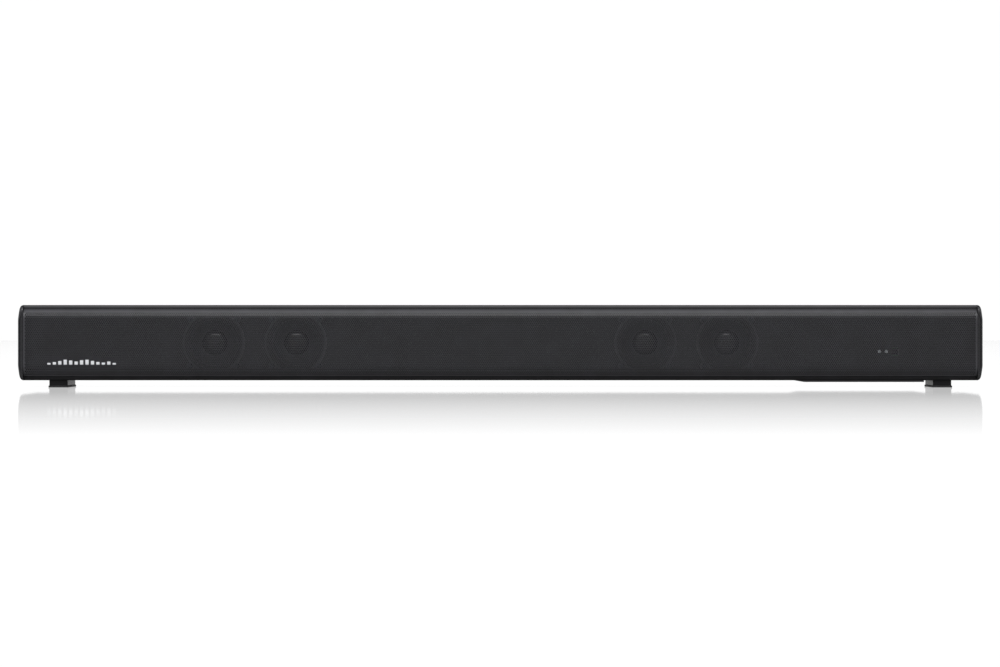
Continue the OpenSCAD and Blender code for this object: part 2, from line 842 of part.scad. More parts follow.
module transformer() {
    x0 = power_x0 + 10;
    y0 = board_y0 + 8;
    z0 = board_top_z;
    color("#4a4a4e") difference() {
        block(x0, x0 + 34, y0, y0 + 24, z0, z0 + 30);
        block(x0 + 6, x0 + 12, y0 - 1, y0 + 25, z0 + 6, z0 + 24);
        block(x0 + 22, x0 + 28, y0 - 1, y0 + 25, z0 + 6, z0 + 24);
    }
    color("#c9a24a") difference() {
        block(x0 + 6.2, x0 + 27.8, y0 - 3, y0 + 27, z0 + 6.2, z0 + 23.8);
        block(x0 + 11.8, x0 + 22.2, y0 - 0.2, y0 + 24.2, z0 + 5, z0 + 25);
    }
}

module capacitors() {
    x = power_x0 + 60;
    color("#2b3a66") {
        translate([x, board_y0 + 6, board_top_z]) cylinder(h = 24, r = 5);
        translate([x - 4, board_y0 + 30, board_top_z]) cylinder(h = 26, r = 8);
        translate([x + 11.5, board_y0 + 24.5, board_top_z]) cylinder(h = 20, r = 4);
    }
}

module amplifier_board() {
    x1 = amp_x0 + amp_l;
    color("#2f6b3c") difference() {
        block(amp_x0, x1, board_y0, board_y0 + board_d, board_z, board_top_z);
        board_holes();
    }
    color("#e6e2d6") block(amp_x0 + 12, amp_x0 + 22, board_y0 + 1, board_y0 + 6,
        board_top_z, board_top_z + 6);
    color("#1a1a1c") {
        block(amp_x0 + 16, amp_x0 + 30, board_y0 + 11, board_y0 + 25, board_top_z, board_top_z + 1.6);
        block(amp_x0 + 48, amp_x0 + 60, board_y0 + 14, board_y0 + 26, board_top_z, board_top_z + 2.4);
    }
}

module heat_sink() {
    x0 = amp_x0 + 12;
    y0 = board_y0 + 9;
    z0 = board_top_z + 1.6;
    color("#9a9da2") {
        block(x0, x0 + 26, y0, y0 + 18, z0, z0 + 3);
        for (k = [0 : 5]) block(x0 + k * 4.8, x0 + k * 4.8 + 2, y0, y0 + 18, z0 + 2.5, z0 + 18);
    }
}

module display_board() {
    color("#2f6b3c") block(display_x0, display_x0 + display_l, display_y, display_y + board_t,
        light_z - display_h / 2, light_z + display_h / 2);
    color("#101012") for (x = [display_x0 + 1, display_x0 + display_l - 5])
        block(x, x + 4, baffle_back_y, display_y, light_z - 4, light_z + 4);
}

module status_lights() {
    tip_y = baffle_y - 0.4;
    color("#dfe6ea") for (x = light_x) {
        rod_y(x, light_z, light_r, tip_y, display_y);
        translate([x, tip_y, light_z]) sphere(light_r);
    }
}

module infrared_receiver() {
    color("#1a1418") {
        block(receiver_x - 2.9, receiver_x + 2.9, baffle_y + 0.8, display_y, light_z - 3.4, light_z + 3.4);
        intersection() {
            translate([receiver_x, baffle_y + 0.9, light_z]) sphere(2.4);
            block(receiver_x - 3, receiver_x + 3, baffle_y - 2, baffle_y + 1, light_z - 3, light_z + 3);
        }
    }
}

module control_board() {
    color("#2f6b3c") difference() {
        block(control_x, control_x + board_t, button_y - control_l / 2, button_y + control_l / 2,
            mid_z - control_h / 2, mid_z + control_h / 2);
        for (y = post_y) rod_x(y, mid_z, clear_r, control_x - 1, control_x + board_t + 1);
    }
    color("#3b3b3f") for (z = button_z) {
        block(control_x + board_t, switch_top_x - 0.6, button_y - 3, button_y + 3, z - 3, z + 3);
        rod_x(button_y, z, 1.7, control_x + board_t, switch_top_x);
    }
}

module button(i) {
    z = button_z[i];
    color("#3a3a3e") {
        rod_x(button_y, z, button_r, button_seat_x - 0.5, bar_end - 0.3);
        rod_x(button_y, z, button_flange_r, button_seat_x - button_flange_t, button_seat_x);
    }
}

module power_button() {
    button(3);
}

module source_button() {
    button(2);
}

module volume_up_button() {
    button(1);
}

module volume_down_button() {
    button(0);
}

// ---- rear sockets ----

module slot_2d(w, h) {
    r = h / 2;
    translate([-w / 2 + r, -r]) square([w - 2 * r, h]);
    for (s = [-1, 1]) translate([s * (w / 2 - r), 0]) circle(r);
}

module mains_inlet() {
    color("#141415") difference() {
        union() {
            block(inlet_x - inlet_w / 2, inlet_x + inlet_w / 2, panel_back_y - inlet_d, panel_back_y - 1,
                inlet_z - inlet_h / 2, inlet_z + inlet_h / 2);
            block(inlet_x - inlet_flange_w / 2, inlet_x + inlet_flange_w / 2, panel_back_y - inlet_flange_t,
                panel_back_y, inlet_z - inlet_flange_h / 2, inlet_z + inlet_flange_h / 2);
        }
        translate([inlet_x, panel_back_y + 1, inlet_z]) rotate([90, 0, 0])
            linear_extrude(inlet_cavity_d + 1) slot_2d(inlet_cavity_w, inlet_cavity_h);
        for (s = [-1, 1]) rod_y(inlet_x + s * inlet_pin_pitch / 2, inlet_z, inlet_pin_r,
            panel_back_y - inlet_d - 4, panel_back_y - inlet_cavity_d + 1);
    }
    color("#c8b878") for (s = [-1, 1]) rod_y(inlet_x + s * inlet_pin_pitch / 2, inlet_z, inlet_pin_r,
        panel_back_y - inlet_d - 4, panel_back_y - 3);
}

module optical_socket() {
    w = optical_w / 2;
    color("#161617") difference() {
        block(optical_x - optical_body_w / 2, optical_x + optical_body_w / 2, panel_back_y - optical_body_d,
            panel_back_y, optical_z - optical_body_w / 2, optical_z + optical_body_w / 2);
        block(optical_x - w, optical_x + w, panel_back_y - optical_depth, panel_back_y + 1,
            optical_z - w, optical_z + w);
    }
}

// The shutter hangs on its upper edge, 4 mm inside the mouth
flap_y = panel_back_y - 4.6;
flap_z = optical_z + optical_w / 2 - flap_pin_r - flap_gap;

module optical_flap() {
    w = optical_w / 2 - flap_gap;
    color("#2c2c30") {
        block(optical_x - w, optical_x + w, flap_y - flap_t / 2, flap_y + flap_t / 2,
            optical_z - optical_w / 2 + flap_gap, flap_z);
        rod_x(flap_y, flap_z, flap_pin_r, optical_x - w, optical_x + w);
    }
}

module aux_jack() {
    color("#171718") difference() {
        union() {
            block(jack_x - jack_w / 2, jack_x + jack_w / 2, rear_inner_y - jack_d + 2, rear_inner_y - 0.2,
                board_top_z, board_top_z + jack_w);
            rod_y(jack_x, jack_z, jack_barrel_r, rear_inner_y - 1, panel_back_y);
        }
        rod_y(jack_x, jack_z, jack_r, panel_back_y - jack_bore_l, panel_back_y + 1);
    }
}

// ---- speaker leads ----

// Where a lead ends, just under a driver's terminal tag
terminal_z = mid_z - magnet_r - 4.3;

// The points of a lead that comes along a lane and turns up to the terminal at x
function rise(x, z) = [
    [x + 14, lead_y, z], [x + 7, lead_y, z + 0.2], [x + 3, lead_y, z + 1.2], [x + 0.8, lead_y, z + 3],
    [x, lead_y, z + 5], [x, lead_y, terminal_z]
];
function turned(points) = [for (i = [len(points) - 1 : -1 : 0]) points[i]];
function mirrored(points, x) = [for (p = points) [2 * x - p[0], p[1], p[2]]];

left_lead = concat([
    [amp_x0 + 11.9, lead_y, board_top_z + 1.8], [amp_x0 + 6, lead_y, board_top_z + 1.8],
    [amp_x0 + 0.8, lead_y, board_top_z + 2], [amp_x0 - 1.6, lead_y, board_top_z + 1],
    [amp_x0 - 2.5, lead_y, board_top_z - 2], [amp_x0 - 3, lead_y, lane_z[0] + 3],
    [amp_x0 - 4.5, lead_y, lane_z[0] + 0.8], [amp_x0 - 8, lead_y, lane_z[0]],
    [bay_x, lead_y, lane_z[0]], [centre_x, lead_y, lane_z[0]]
], rise(driver_x[1] + 1.4, lane_z[0]));
right_lead = concat([
    [amp_x0 + 11.9, lead_y, board_top_z + 4.7], [amp_x0 + 4, lead_y, board_top_z + 4.7],
    [amp_x0 - 2.2, lead_y, board_top_z + 4.6], [amp_x0 - 5.2, lead_y, board_top_z + 2.4],
    [amp_x0 - 6.2, lead_y, board_top_z - 1], [amp_x0 - 6.4, lead_y, lane_z[1] + 1.8],
    [amp_x0 - 7.6, lead_y, lane_z[1] + 0.4], [amp_x0 - 10.5, lead_y, lane_z[1]],
    [bay_x, lead_y, lane_z[1]]
], rise(driver_x[3] + 1.4, lane_z[1]));

// The short lead between the two drivers of a pair
function link(x0, x1, z) = concat(turned(rise(x0, z)), mirrored(rise(x1, z), x1));

function unit(v) = v / norm(v);

// A tube of flat sides swept along a list of points
module tube(points, r) {
    n = len(points);
    function tangent(i) = unit(points[min(i + 1, n - 1)] - points[max(i - 1, 0)]);
    function side(i) = unit(cross(tangent(i), abs(tangent(i)[1]) > 0.9 ? [1, 0, 0] : [0, 1, 0]));
    function up(i) = cross(side(i), tangent(i));
    rings = [for (i = [0 : n - 1], k = [0 : lead_sides - 1])
        let (a = 360 * k / lead_sides)
        points[i] + r * (cos(a) * side(i) + sin(a) * up(i))];
    walls = [for (i = [0 : n - 2], k = [0 : lead_sides - 1])
        let (k2 = (k + 1) % lead_sides, a = i * lead_sides)
        [a + k, a + lead_sides + k, a + lead_sides + k2, a + k2]];
    ends = [[for (k = [0 : lead_sides - 1]) k],
        [for (k = [lead_sides - 1 : -1 : 0]) (n - 1) * lead_sides + k]];
    polyhedron(rings, concat(walls, ends), convexity = 8);
}

module speaker_leads() {
    color("#8a2b26") {
        tube(left_lead, lead_d / 2);
        tube(right_lead, lead_d / 2);
        tube(link(driver_x[0] + 1.4, driver_x[1] - 1.4, lane_z[0]), lead_d / 2);
        tube(link(driver_x[2] + 1.4, driver_x[3] - 1.4, lane_z[1]), lead_d / 2);
    }
}

// ---- screws ----

module driver_screws() {
    color("#37383b") for (i = [0 : 3], a = [45 : 90 : 315])
        at_driver(i) rotate(a) translate([ear_circle_r, 0, flange_t]) screw(driver_screw_l);
}

module baffle_screws() {
    color("#37383b") for (x = boss_x, z = boss_z)
        translate([x, baffle_y, z]) rotate([90, 0, 0]) screw(baffle_screw_l);
}

module case_screws() {
    color("#37383b") {
        for (x = boss_x, z = boss_z)
            translate([x, panel_back_y - head_recess, z]) rotate([-90, 0, 0]) screw(rear_screw_l);
        for (side = [-1, 1], y = block_y)
            translate([side * cap_screw_x, y, base_z + head_recess]) rotate([180, 0, 0]) screw(cap_screw_l);
        for (side = [-1, 1], y = foot_screw_y)
            translate([side * foot_x, y, pad_t + head_recess]) rotate([180, 0, 0]) screw(foot_screw_l);
        for (x = cover_screw_x, y = cover_screw_y)
            translate([x, y, base_z - cover_t + 1]) rotate([180, 0, 0]) cover_screw();
        for (p = board_screws)
            translate([p[0], p[1], board_top_z]) screw(board_screw_l);
    }
}

module cover_screw() {
    cylinder(h = 0.9, r = head_r);
    translate([0, 0, -cover_screw_l + 2]) cylinder(h = cover_screw_l - 1.8, r = screw_r);
}

top_panel();
base_panel();
rear_panel();
front_baffle();
centre_partition();
bay_partition();
end_cap_left();
end_cap_right();
bay_cover();
badge();
grille();
grille_top_rail();
grille_bottom_rail();
foot_left();
foot_right();
foot_pad_left();
foot_pad_right();
basket(0);  // driver_1_basket
magnet(0);  // driver_1_magnet
cone(0);  // driver_1_cone
dust_cap(0);  // driver_1_dust_cap
suspension(0);  // driver_1_suspension
basket(1);  // driver_2_basket
magnet(1);  // driver_2_magnet
cone(1);  // driver_2_cone
dust_cap(1);  // driver_2_dust_cap
suspension(1);  // driver_2_suspension
basket(2);  // driver_3_basket
magnet(2);  // driver_3_magnet
cone(2);  // driver_3_cone
dust_cap(2);  // driver_3_dust_cap
suspension(2);  // driver_3_suspension
basket(3);  // driver_4_basket
magnet(3);  // driver_4_magnet
cone(3);  // driver_4_cone
dust_cap(3);  // driver_4_dust_cap
suspension(3);  // driver_4_suspension
port_left();
port_right();
power_board();
transformer();
capacitors();
amplifier_board();
heat_sink();
display_board();
status_lights();
infrared_receiver();
control_board();
power_button();
source_button();
volume_down_button();
volume_up_button();
mains_inlet();
optical_socket();
optical_flap();
aux_jack();
speaker_leads();
driver_screws();
baffle_screws();
case_screws();
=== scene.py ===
import json
import math

import bmesh
import bpy
import numpy as np
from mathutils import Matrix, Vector


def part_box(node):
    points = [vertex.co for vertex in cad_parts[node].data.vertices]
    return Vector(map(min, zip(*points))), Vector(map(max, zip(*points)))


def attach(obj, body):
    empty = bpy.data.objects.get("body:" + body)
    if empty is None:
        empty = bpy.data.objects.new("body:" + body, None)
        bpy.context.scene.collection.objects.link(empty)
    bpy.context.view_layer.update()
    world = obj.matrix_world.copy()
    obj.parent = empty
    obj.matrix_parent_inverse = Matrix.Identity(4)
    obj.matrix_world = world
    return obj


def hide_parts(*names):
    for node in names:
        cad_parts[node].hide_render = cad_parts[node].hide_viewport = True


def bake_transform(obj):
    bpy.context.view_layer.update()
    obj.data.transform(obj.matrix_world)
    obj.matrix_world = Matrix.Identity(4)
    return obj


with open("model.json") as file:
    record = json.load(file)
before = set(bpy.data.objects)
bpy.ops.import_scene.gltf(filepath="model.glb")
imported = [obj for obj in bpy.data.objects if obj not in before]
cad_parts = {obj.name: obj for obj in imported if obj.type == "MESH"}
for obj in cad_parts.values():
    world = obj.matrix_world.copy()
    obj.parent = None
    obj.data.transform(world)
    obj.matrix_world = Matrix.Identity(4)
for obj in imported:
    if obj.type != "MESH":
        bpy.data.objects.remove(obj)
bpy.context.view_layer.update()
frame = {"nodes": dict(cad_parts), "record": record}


# ---- Top panel, base panel, baffle and chamber walls ----
# The case is four long panels of moulded black ABS, screwed and glued round two chamber walls.
# The top and base panels are the two that show. They have a fine spark-eroded grain and soft
# rounded long edges. The baffle and the walls inside are left as they come from the mould.

MM = 0.001


def linear(code):
    """An sRGB hex colour as linear red, green, blue and alpha."""
    shares = [int(code[k : k + 2], 16) / 255 for k in (1, 3, 5)]
    return [s / 12.92 if s <= 0.04045 else ((s + 0.055) / 1.055) ** 2.4 for s in shares] + [1.0]


def add(tree, kind, links=None, **settings):
    """Adds one node. Settings are its own properties, or the values of inputs named in_ and a
    number, and links joins inputs to outputs of other nodes."""
    node = tree.nodes.new("ShaderNode" + kind)
    for name, value in settings.items():
        if name.startswith("in_"):
            node.inputs[int(name[3:])].default_value = value
        elif name == "stops":
            ramp = node.color_ramp
            while len(ramp.elements) < len(value):
                ramp.elements.new(0.5)
            for element, (position, colour) in zip(ramp.elements, value):
                element.position = position
                element.color = colour
        else:
            setattr(node, name, value)
    for name, output in (links or {}).items():
        tree.links.new(output, node.inputs[name])
    return node


def surface(name, metallic=0.0, ior=1.45):
    """Starts a material with its shader. Returns the material, its tree, the shader and the
    object's own coordinates."""
    material = bpy.data.materials.new(name)
    material.use_nodes = True
    tree = material.node_tree
    tree.nodes.clear()
    shader = add(tree, "BsdfPrincipled")
    shader.inputs["Metallic"].default_value = metallic
    if metallic < 1:
        shader.inputs["IOR"].default_value = ior
    end = add(tree, "OutputMaterial")
    tree.links.new(shader.outputs[0], end.inputs["Surface"])
    where = add(tree, "TexCoord").outputs["Object"]
    return material, tree, shader, where


def tint(tree, shader, pattern, deep, pale, start=0.3, end=0.7):
    """Colours a surface between two tones by the output of a pattern."""
    tones = add(tree, "ValToRGB", {"Fac": pattern},
                stops=[(start, linear(deep)), (end, linear(pale))])
    tree.links.new(tones.outputs["Color"], shader.inputs["Base Color"])


def roughen(tree, shader, pattern, smooth, rough, start=0.0, end=1.0):
    """Lets the roughness wander between two values with the output of a pattern."""
    wander = add(tree, "MapRange", {"Value": pattern},
                 in_1=start, in_2=end, in_3=smooth, in_4=rough)
    tree.links.new(wander.outputs["Result"], shader.inputs["Roughness"])


def emboss(tree, shader, pattern, strength, relief):
    """Raises a surface by the output of a pattern, relief metres high."""
    bump = add(tree, "Bump", {"Height": pattern}, in_0=strength, in_1=relief)
    tree.links.new(bump.outputs["Normal"], shader.inputs["Normal"])


def moulded(name, deep, pale, smooth, rough, grain, relief, ior=1.5, cloud=14 * MM, shine=0.5):
    """A moulded or coated surface: two close tones in soft clouds, and the grain of the mould or
    the coat in its roughness and relief. A shine under 0.5 dims the gleam. Together with dark tones
    it makes painted shade, as on the base panel and the feet."""
    material, tree, shader, where = surface(name, ior=ior)
    shader.inputs["Specular IOR Level"].default_value = shine
    clouds = add(tree, "TexNoise", {"Vector": where}, in_2=1 / cloud, in_3=3.0)
    tint(tree, shader, clouds.outputs["Fac"], deep, pale, start=0.35)
    fine = add(tree, "TexNoise", {"Vector": where}, in_2=1 / grain, in_3=2.0)
    roughen(tree, shader, fine.outputs["Fac"], smooth, rough, start=0.3, end=0.7)
    emboss(tree, shader, fine.outputs["Fac"], 0.6, relief)
    return material


def dress(material, *nodes):
    """Gives CAD nodes that stay in view a material."""
    for node in nodes:
        for slot in frame["nodes"][node].material_slots:
            slot.material = material


# Spark-eroded black ABS: satin, with a grain of about 0.9 mm so that it shows at all.
case_abs = moulded("grained_black_abs", "#141416", "#1a1a1d", 0.36, 0.5, 0.9 * MM, 0.03 * MM)
dress(case_abs, "top_panel")
# The base panel's grain is deeper and duller. It is also coloured darker and given less gleam than
# the top panel as painted shade, so that its edge reads as the near-black line of shade under the grille.
base_abs_painted_shade = moulded("dull_black_abs", "#0a0a0b", "#0f0f11", 0.5, 0.62, 1.2 * MM, 0.06 * MM, shine=0.15)
dress(base_abs_painted_shade, "base_panel")
# Plain black ABS behind the grille: as it leaves a polished mould, flat and dark.
inner_abs = moulded("plain_black_abs", "#0b0b0c", "#101012", 0.5, 0.62, 1.4 * MM, 0.03 * MM)
dress(inner_abs, "front_baffle", "centre_partition", "bay_partition")


# ---- Rear panel ----
# One flat black ABS moulding, let in between the top and base panels and screwed to their bosses.
# It has a coarser, duller grain than the top, because it faces the wall.

# Spark-eroded ABS again, with the grain of a rougher tool: it scatters the light and looks greyer.
rear_abs = moulded("coarse_black_abs", "#161617", "#1d1d1f", 0.45, 0.6, 1.3 * MM, 0.06 * MM)
dress(rear_abs, "rear_panel")


# ---- End caps ----
# Each end is closed by a pillow-shaped moulding of smoother black ABS. Its middle is flat, it falls
# back towards the top and the base, and all its edges are rounded. A rim behind it plugs into the
# case, and two screws come up through the base. The right cap has four round holes for buttons.

CAP_FRONT_RADIUS = 7 * MM
CAP_REAR_RADIUS = 4 * MM
CAP_EDGE_RADIUS = 2.5 * MM
CAP_FALL = 1.9 * MM
CAP_SLOPE = 13.8 * MM
CAP_CREASE_RADIUS = 2 * MM
RIM_WALL = 2 * MM
RIM_FLOOR = 0.5 * MM
BUTTON_HOLE_RADIUS = 4.2 * MM


def only(piece=None):
    """Deselects everything, and then selects one piece and makes it active."""
    if bpy.context.object and bpy.context.object.mode == "EDIT":
        bpy.ops.object.mode_set(mode="OBJECT")
    bpy.ops.object.select_all(action="DESELECT")
    if piece:
        piece.select_set(True)
        bpy.context.view_layer.objects.active = piece


def settle(piece, angle=30, flats=False):
    """Leaves edit mode, puts the piece's place into its mesh and smooths its rounded faces. With
    flats, its large faces stay flat right up to their rounded edges."""
    only(piece)
    bpy.ops.object.transform_apply(location=True, rotation=True, scale=True)
    bpy.ops.object.shade_smooth_by_angle(angle=math.radians(angle))
    if flats:
        bpy.ops.object.modifier_add(type="WEIGHTED_NORMAL")
        piece.modifiers[-1].keep_sharp = True
        bpy.ops.object.modifier_apply(modifier=piece.modifiers[-1].name)
    return piece


def block(name, low, high):
    """A block between two corners."""
    low, high = Vector(low), Vector(high)
    only()
    bpy.ops.mesh.primitive_cube_add(size=1, location=(low + high) / 2, scale=high - low)
    piece = bpy.context.object
    piece.name = name
    bpy.ops.object.transform_apply(location=True, rotation=True, scale=True)
    return piece


def pick(piece, kind, test):
    """In edit mode, selects only the corners, edges or faces that pass a test."""
    only(piece)
    bpy.ops.object.mode_set(mode="EDIT")
    bpy.ops.mesh.select_mode(type=kind)
    bpy.ops.mesh.select_all(action="DESELECT")
    mesh = bmesh.from_edit_mesh(piece.data)
    for part in {"VERT": mesh.verts, "EDGE": mesh.edges, "FACE": mesh.faces}[kind]:
        part.select_set(bool(test(part)))
    mesh.select_flush_mode()
    bmesh.update_edit_mesh(piece.data)


def middle(edge):
    return (edge.verts[0].co + edge.verts[1].co) / 2


def along(edge, axis):
    """True if an edge runs along an axis, 0 for X, 1 for Y and 2 for Z."""
    run = edge.verts[1].co - edge.verts[0].co
    return abs(run[axis]) > 0.98 * run.length


def round_edges(piece, test, radius, segments):
    """Rounds the edges that pass a test."""
    pick(piece, "EDGE", test)
    bpy.ops.mesh.bevel(offset=radius, offset_type="OFFSET", segments=segments, affect="EDGES")
    bpy.ops.object.mode_set(mode="OBJECT")


def join(name, pieces):
    """Makes several pieces one."""
    only(pieces[0])
    for piece in pieces[1:]:
        piece.select_set(True)
    if len(pieces) > 1:
        bpy.ops.object.join()
    pieces[0].name = name
    return pieces[0]


def cut(piece, tool, operation="DIFFERENCE"):
    """Cuts one closed shape out of another, or melts it in with UNION, and deletes the tool."""
    only(piece)
    bpy.ops.object.modifier_add(type="BOOLEAN")
    boolean = piece.modifiers[-1]
    boolean.operation = operation
    boolean.solver = "EXACT"
    boolean.object = tool
    bpy.ops.object.modifier_apply(modifier=boolean.name)
    only(tool)
    bpy.ops.object.delete()
    only(piece)


def place(piece, material, body, slot, *nodes):
    """Gives a finished piece its material, attaches it to what it rides on, and hides the CAD nodes it
    stands for.
    """
    piece.data.materials.clear()
    piece.data.materials.append(material)
    if body:
        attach(piece, body)
    if nodes:
        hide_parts(*nodes)
    return piece


def end_cap(name, node, side, holes):
    """side is 1 for the right end and -1 for the left, and holes are the middles of round holes."""
    low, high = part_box(node)
    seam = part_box("top_panel")[1].x
    outer = high.x if side > 0 else -low.x

    def on_hole(corner):
        return any(math.hypot(corner.co.y - y, corner.co.z - z) < BUTTON_HOLE_RADIUS + 0.05 * MM
                   for y, z in holes)

    cap = block(name, (min(side * seam, side * outer), low.y, low.z),
                (max(side * seam, side * outer), high.y, high.z))
    centre_y = (low.y + high.y) / 2
    round_edges(cap, lambda e: along(e, 0) and middle(e).y < centre_y, CAP_FRONT_RADIUS, 12)
    round_edges(cap, lambda e: along(e, 0) and middle(e).y > high.y - MM, CAP_REAR_RADIUS, 8)
    for z in (low.z + CAP_SLOPE, high.z - CAP_SLOPE):
        pick(cap, "FACE", lambda f: True)
        bpy.ops.mesh.bisect(plane_co=(0, 0, z), plane_no=(0, 0, 1))
    bpy.ops.object.mode_set(mode="OBJECT")
    for corner in cap.data.vertices:
        if abs(corner.co.x) > outer - 0.1 * MM:
            past = max(low.z + CAP_SLOPE - corner.co.z, corner.co.z - high.z + CAP_SLOPE, 0)
            corner.co.x -= side * CAP_FALL * past / CAP_SLOPE
    round_edges(cap, lambda e: along(e, 1) and abs(middle(e).x) > outer - 0.1 * MM
                and e.calc_length() > 30 * MM, CAP_CREASE_RADIUS, 4)
    round_edges(cap, lambda e: len(e.link_faces) == 2 and abs(middle(e).x) > outer - 2.2 * MM
                and max(abs(f.normal.x) for f in e.link_faces) > 0.9
                and min(abs(f.normal.x) for f in e.link_faces) < 0.3, CAP_EDGE_RADIUS, 6)
    if holes:
        drills = []
        for y, z in holes:
            only()
            bpy.ops.mesh.primitive_cylinder_add(
                vertices=48, radius=BUTTON_HOLE_RADIUS, depth=20 * MM,
                location=(side * outer, y, z), rotation=(0, math.pi / 2, 0))
            drills.append(bpy.context.object)
        cut(cap, join("drills", drills))
        round_edges(cap, lambda e: abs(abs(middle(e).x) - outer) < 0.1 * MM
                    and on_hole(e.verts[0]) and on_hole(e.verts[1]), 0.3 * MM, 2)
    panel_low, panel_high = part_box("rear_panel")
    rim_low = Vector((low.x if side > 0 else -seam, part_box("front_baffle")[1].y + 0.2 * MM,
                      panel_low.z + 0.1 * MM))
    rim_high = Vector((seam if side > 0 else high.x, panel_high.y - 3.2 * MM,
                       panel_high.z - 0.1 * MM))
    rim = block("rim", rim_low, rim_high)
    pick(rim, "FACE", lambda f: f.normal.x * side < -0.9)
    bpy.ops.mesh.inset(thickness=RIM_WALL)
    bpy.ops.mesh.extrude_region_move(TRANSFORM_OT_translate={
        "value": (side * (rim_high.x - rim_low.x - RIM_FLOOR), 0, 0)})
    bpy.ops.object.mode_set(mode="OBJECT")
    return settle(join(name, [cap, rim]), 35, flats=True)


# Fine-grained black ABS: a shade lighter and shinier than the panels, so its edges catch the light.
cap_abs = moulded("satin_black_abs", "#18181a", "#1f1f22", 0.24, 0.34, 0.8 * MM, 0.012 * MM)
BUTTONS = ("volume_down_button", "volume_up_button", "source_button", "power_button")
button_spots = []
for button in BUTTONS:
    low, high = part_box(button)
    button_spots.append(((low.y + high.y) / 2, (low.z + high.z) / 2))
place(end_cap("left_end_cap", "end_cap_left", -1, []),
      cap_abs, "case", "moulded_plastic", "end_cap_left")
place(end_cap("right_end_cap", "end_cap_right", 1, button_spots),
      cap_abs, "case", "moulded_plastic", "end_cap_right")


# ---- Grille ----
# One sheet of 0.8 mm steel, punched with round holes in staggered rows 2 mm apart, and folded back
# over a 12 mm radius along both long edges. Its plain border is widest at the top. It is
# powder-coated dark grey. It is made here as four lengths that meet hole to hole.

HOLE_PITCH = 1.995 * MM
HOLE_HALF = 0.72 * MM
BEND_RADIUS = 12 * MM
BEND_ANGLE = math.radians(55)
SHEET = 0.8 * MM
LENGTHS = 4
CELLS = 116
ROW_PAIRS = 18
ROWS_LOWER = 1.2 * MM
MERGE = 0.02 * MM

sheet_low, sheet_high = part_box("grille")
sheet_front = sheet_low.y
sheet_middle = (sheet_low.z + sheet_high.z) / 2
flat_half = (sheet_high.z - sheet_low.z) / 2 - BEND_RADIUS * math.sin(BEND_ANGLE)
unrolled_half = flat_half + BEND_RADIUS * BEND_ANGLE
row_step = HOLE_PITCH * math.sqrt(3) / 2
cell_corner = HOLE_PITCH / math.sqrt(3)
first_row = sheet_middle - (2 * ROW_PAIRS - 1) * row_step / 2 - ROWS_LOWER
last_row = first_row + (2 * ROW_PAIRS - 1) * row_step
length = CELLS * HOLE_PITCH
punched_left = (sheet_low.x + sheet_high.x) / 2 - (LENGTHS * length + HOLE_PITCH / 2) / 2


def repeat(piece, count, offset):
    """Copies a piece in a row and joins each copy to the next."""
    only(piece)
    bpy.ops.object.modifier_add(type="ARRAY")
    array = piece.modifiers[-1]
    array.count = count
    array.use_relative_offset = False
    array.use_constant_offset = True
    array.constant_offset_displace = offset
    array.use_merge_vertices = True
    array.merge_threshold = MERGE
    bpy.ops.object.modifier_apply(modifier=array.name)


def outer_edge(edge):
    """True for an edge on the outline of the sheet, and not of a hole."""
    return edge.is_boundary and edge.calc_length() > 0.9 * cell_corner


def grille_length(number):
    """A flat length of punched sheet with its borders, in the plane of the front. One hexagon round
    one hole is repeated along a row, then to a pair of staggered rows, then up the sheet."""
    left = punched_left + number * length
    only()
    bpy.ops.mesh.primitive_circle_add(
        vertices=6, radius=cell_corner, fill_type="NGON",
        location=(left + HOLE_PITCH / 2, sheet_front, first_row), rotation=(math.pi / 2, 0, 0))
    sheet = bpy.context.object
    sheet.name = f"grille_{number + 1}"
    bpy.ops.object.transform_apply(location=True, rotation=True, scale=True)
    pick(sheet, "FACE", lambda f: True)
    bpy.ops.mesh.inset(thickness=HOLE_PITCH / 2 - HOLE_HALF)
    bpy.ops.mesh.delete(type="ONLY_FACE")
    bpy.ops.object.mode_set(mode="OBJECT")
    repeat(sheet, CELLS, (HOLE_PITCH, 0, 0))
    repeat(sheet, 2, (HOLE_PITCH / 2, 0, row_step))
    repeat(sheet, ROW_PAIRS, (0, 0, 2 * row_step))
    pick(sheet, "VERT", lambda v: True)
    bpy.ops.mesh.remove_doubles(threshold=MERGE)
    near = 0.6 * HOLE_PITCH
    if number == 0:
        pick(sheet, "EDGE", lambda e: outer_edge(e) and max(v.co.x for v in e.verts) < left + near)
        bpy.ops.mesh.extrude_edges_move(TRANSFORM_OT_translate={"value": (-near, 0, 0)})
        bpy.ops.transform.resize(value=(0, 1, 1), center_override=(sheet_low.x, 0, 0))
    if number == LENGTHS - 1:
        right = left + length + HOLE_PITCH / 2
        pick(sheet, "EDGE", lambda e: outer_edge(e) and min(v.co.x for v in e.verts) > right - near)
        bpy.ops.mesh.extrude_edges_move(TRANSFORM_OT_translate={"value": (near, 0, 0)})
        bpy.ops.transform.resize(value=(0, 1, 1), center_override=(sheet_high.x, 0, 0))
    for side, row in ((-1, first_row), (1, last_row)):
        pick(sheet, "EDGE", lambda e: outer_edge(e) and all(
            side * (v.co.z - row) > cell_corner / 2 - 0.05 * MM for v in e.verts)
            and abs(e.verts[0].co.x - e.verts[1].co.x) > 0.1 * MM)
        begin = row + side * (cell_corner + 0.3 * MM)
        end = sheet_middle + side * unrolled_half
        steps = round(abs(end - begin) / MM)
        for step in range(steps + 1):
            z = begin + (end - begin) * step / steps
            bpy.ops.mesh.extrude_edges_move(TRANSFORM_OT_translate={"value": (0, 0, side * MM)})
            bpy.ops.transform.resize(value=(1, 1, 0), center_override=(0, 0, z))
    pick(sheet, "FACE", lambda f: f.normal.y > 0)
    bpy.ops.mesh.flip_normals()
    bpy.ops.object.mode_set(mode="OBJECT")
    return sheet


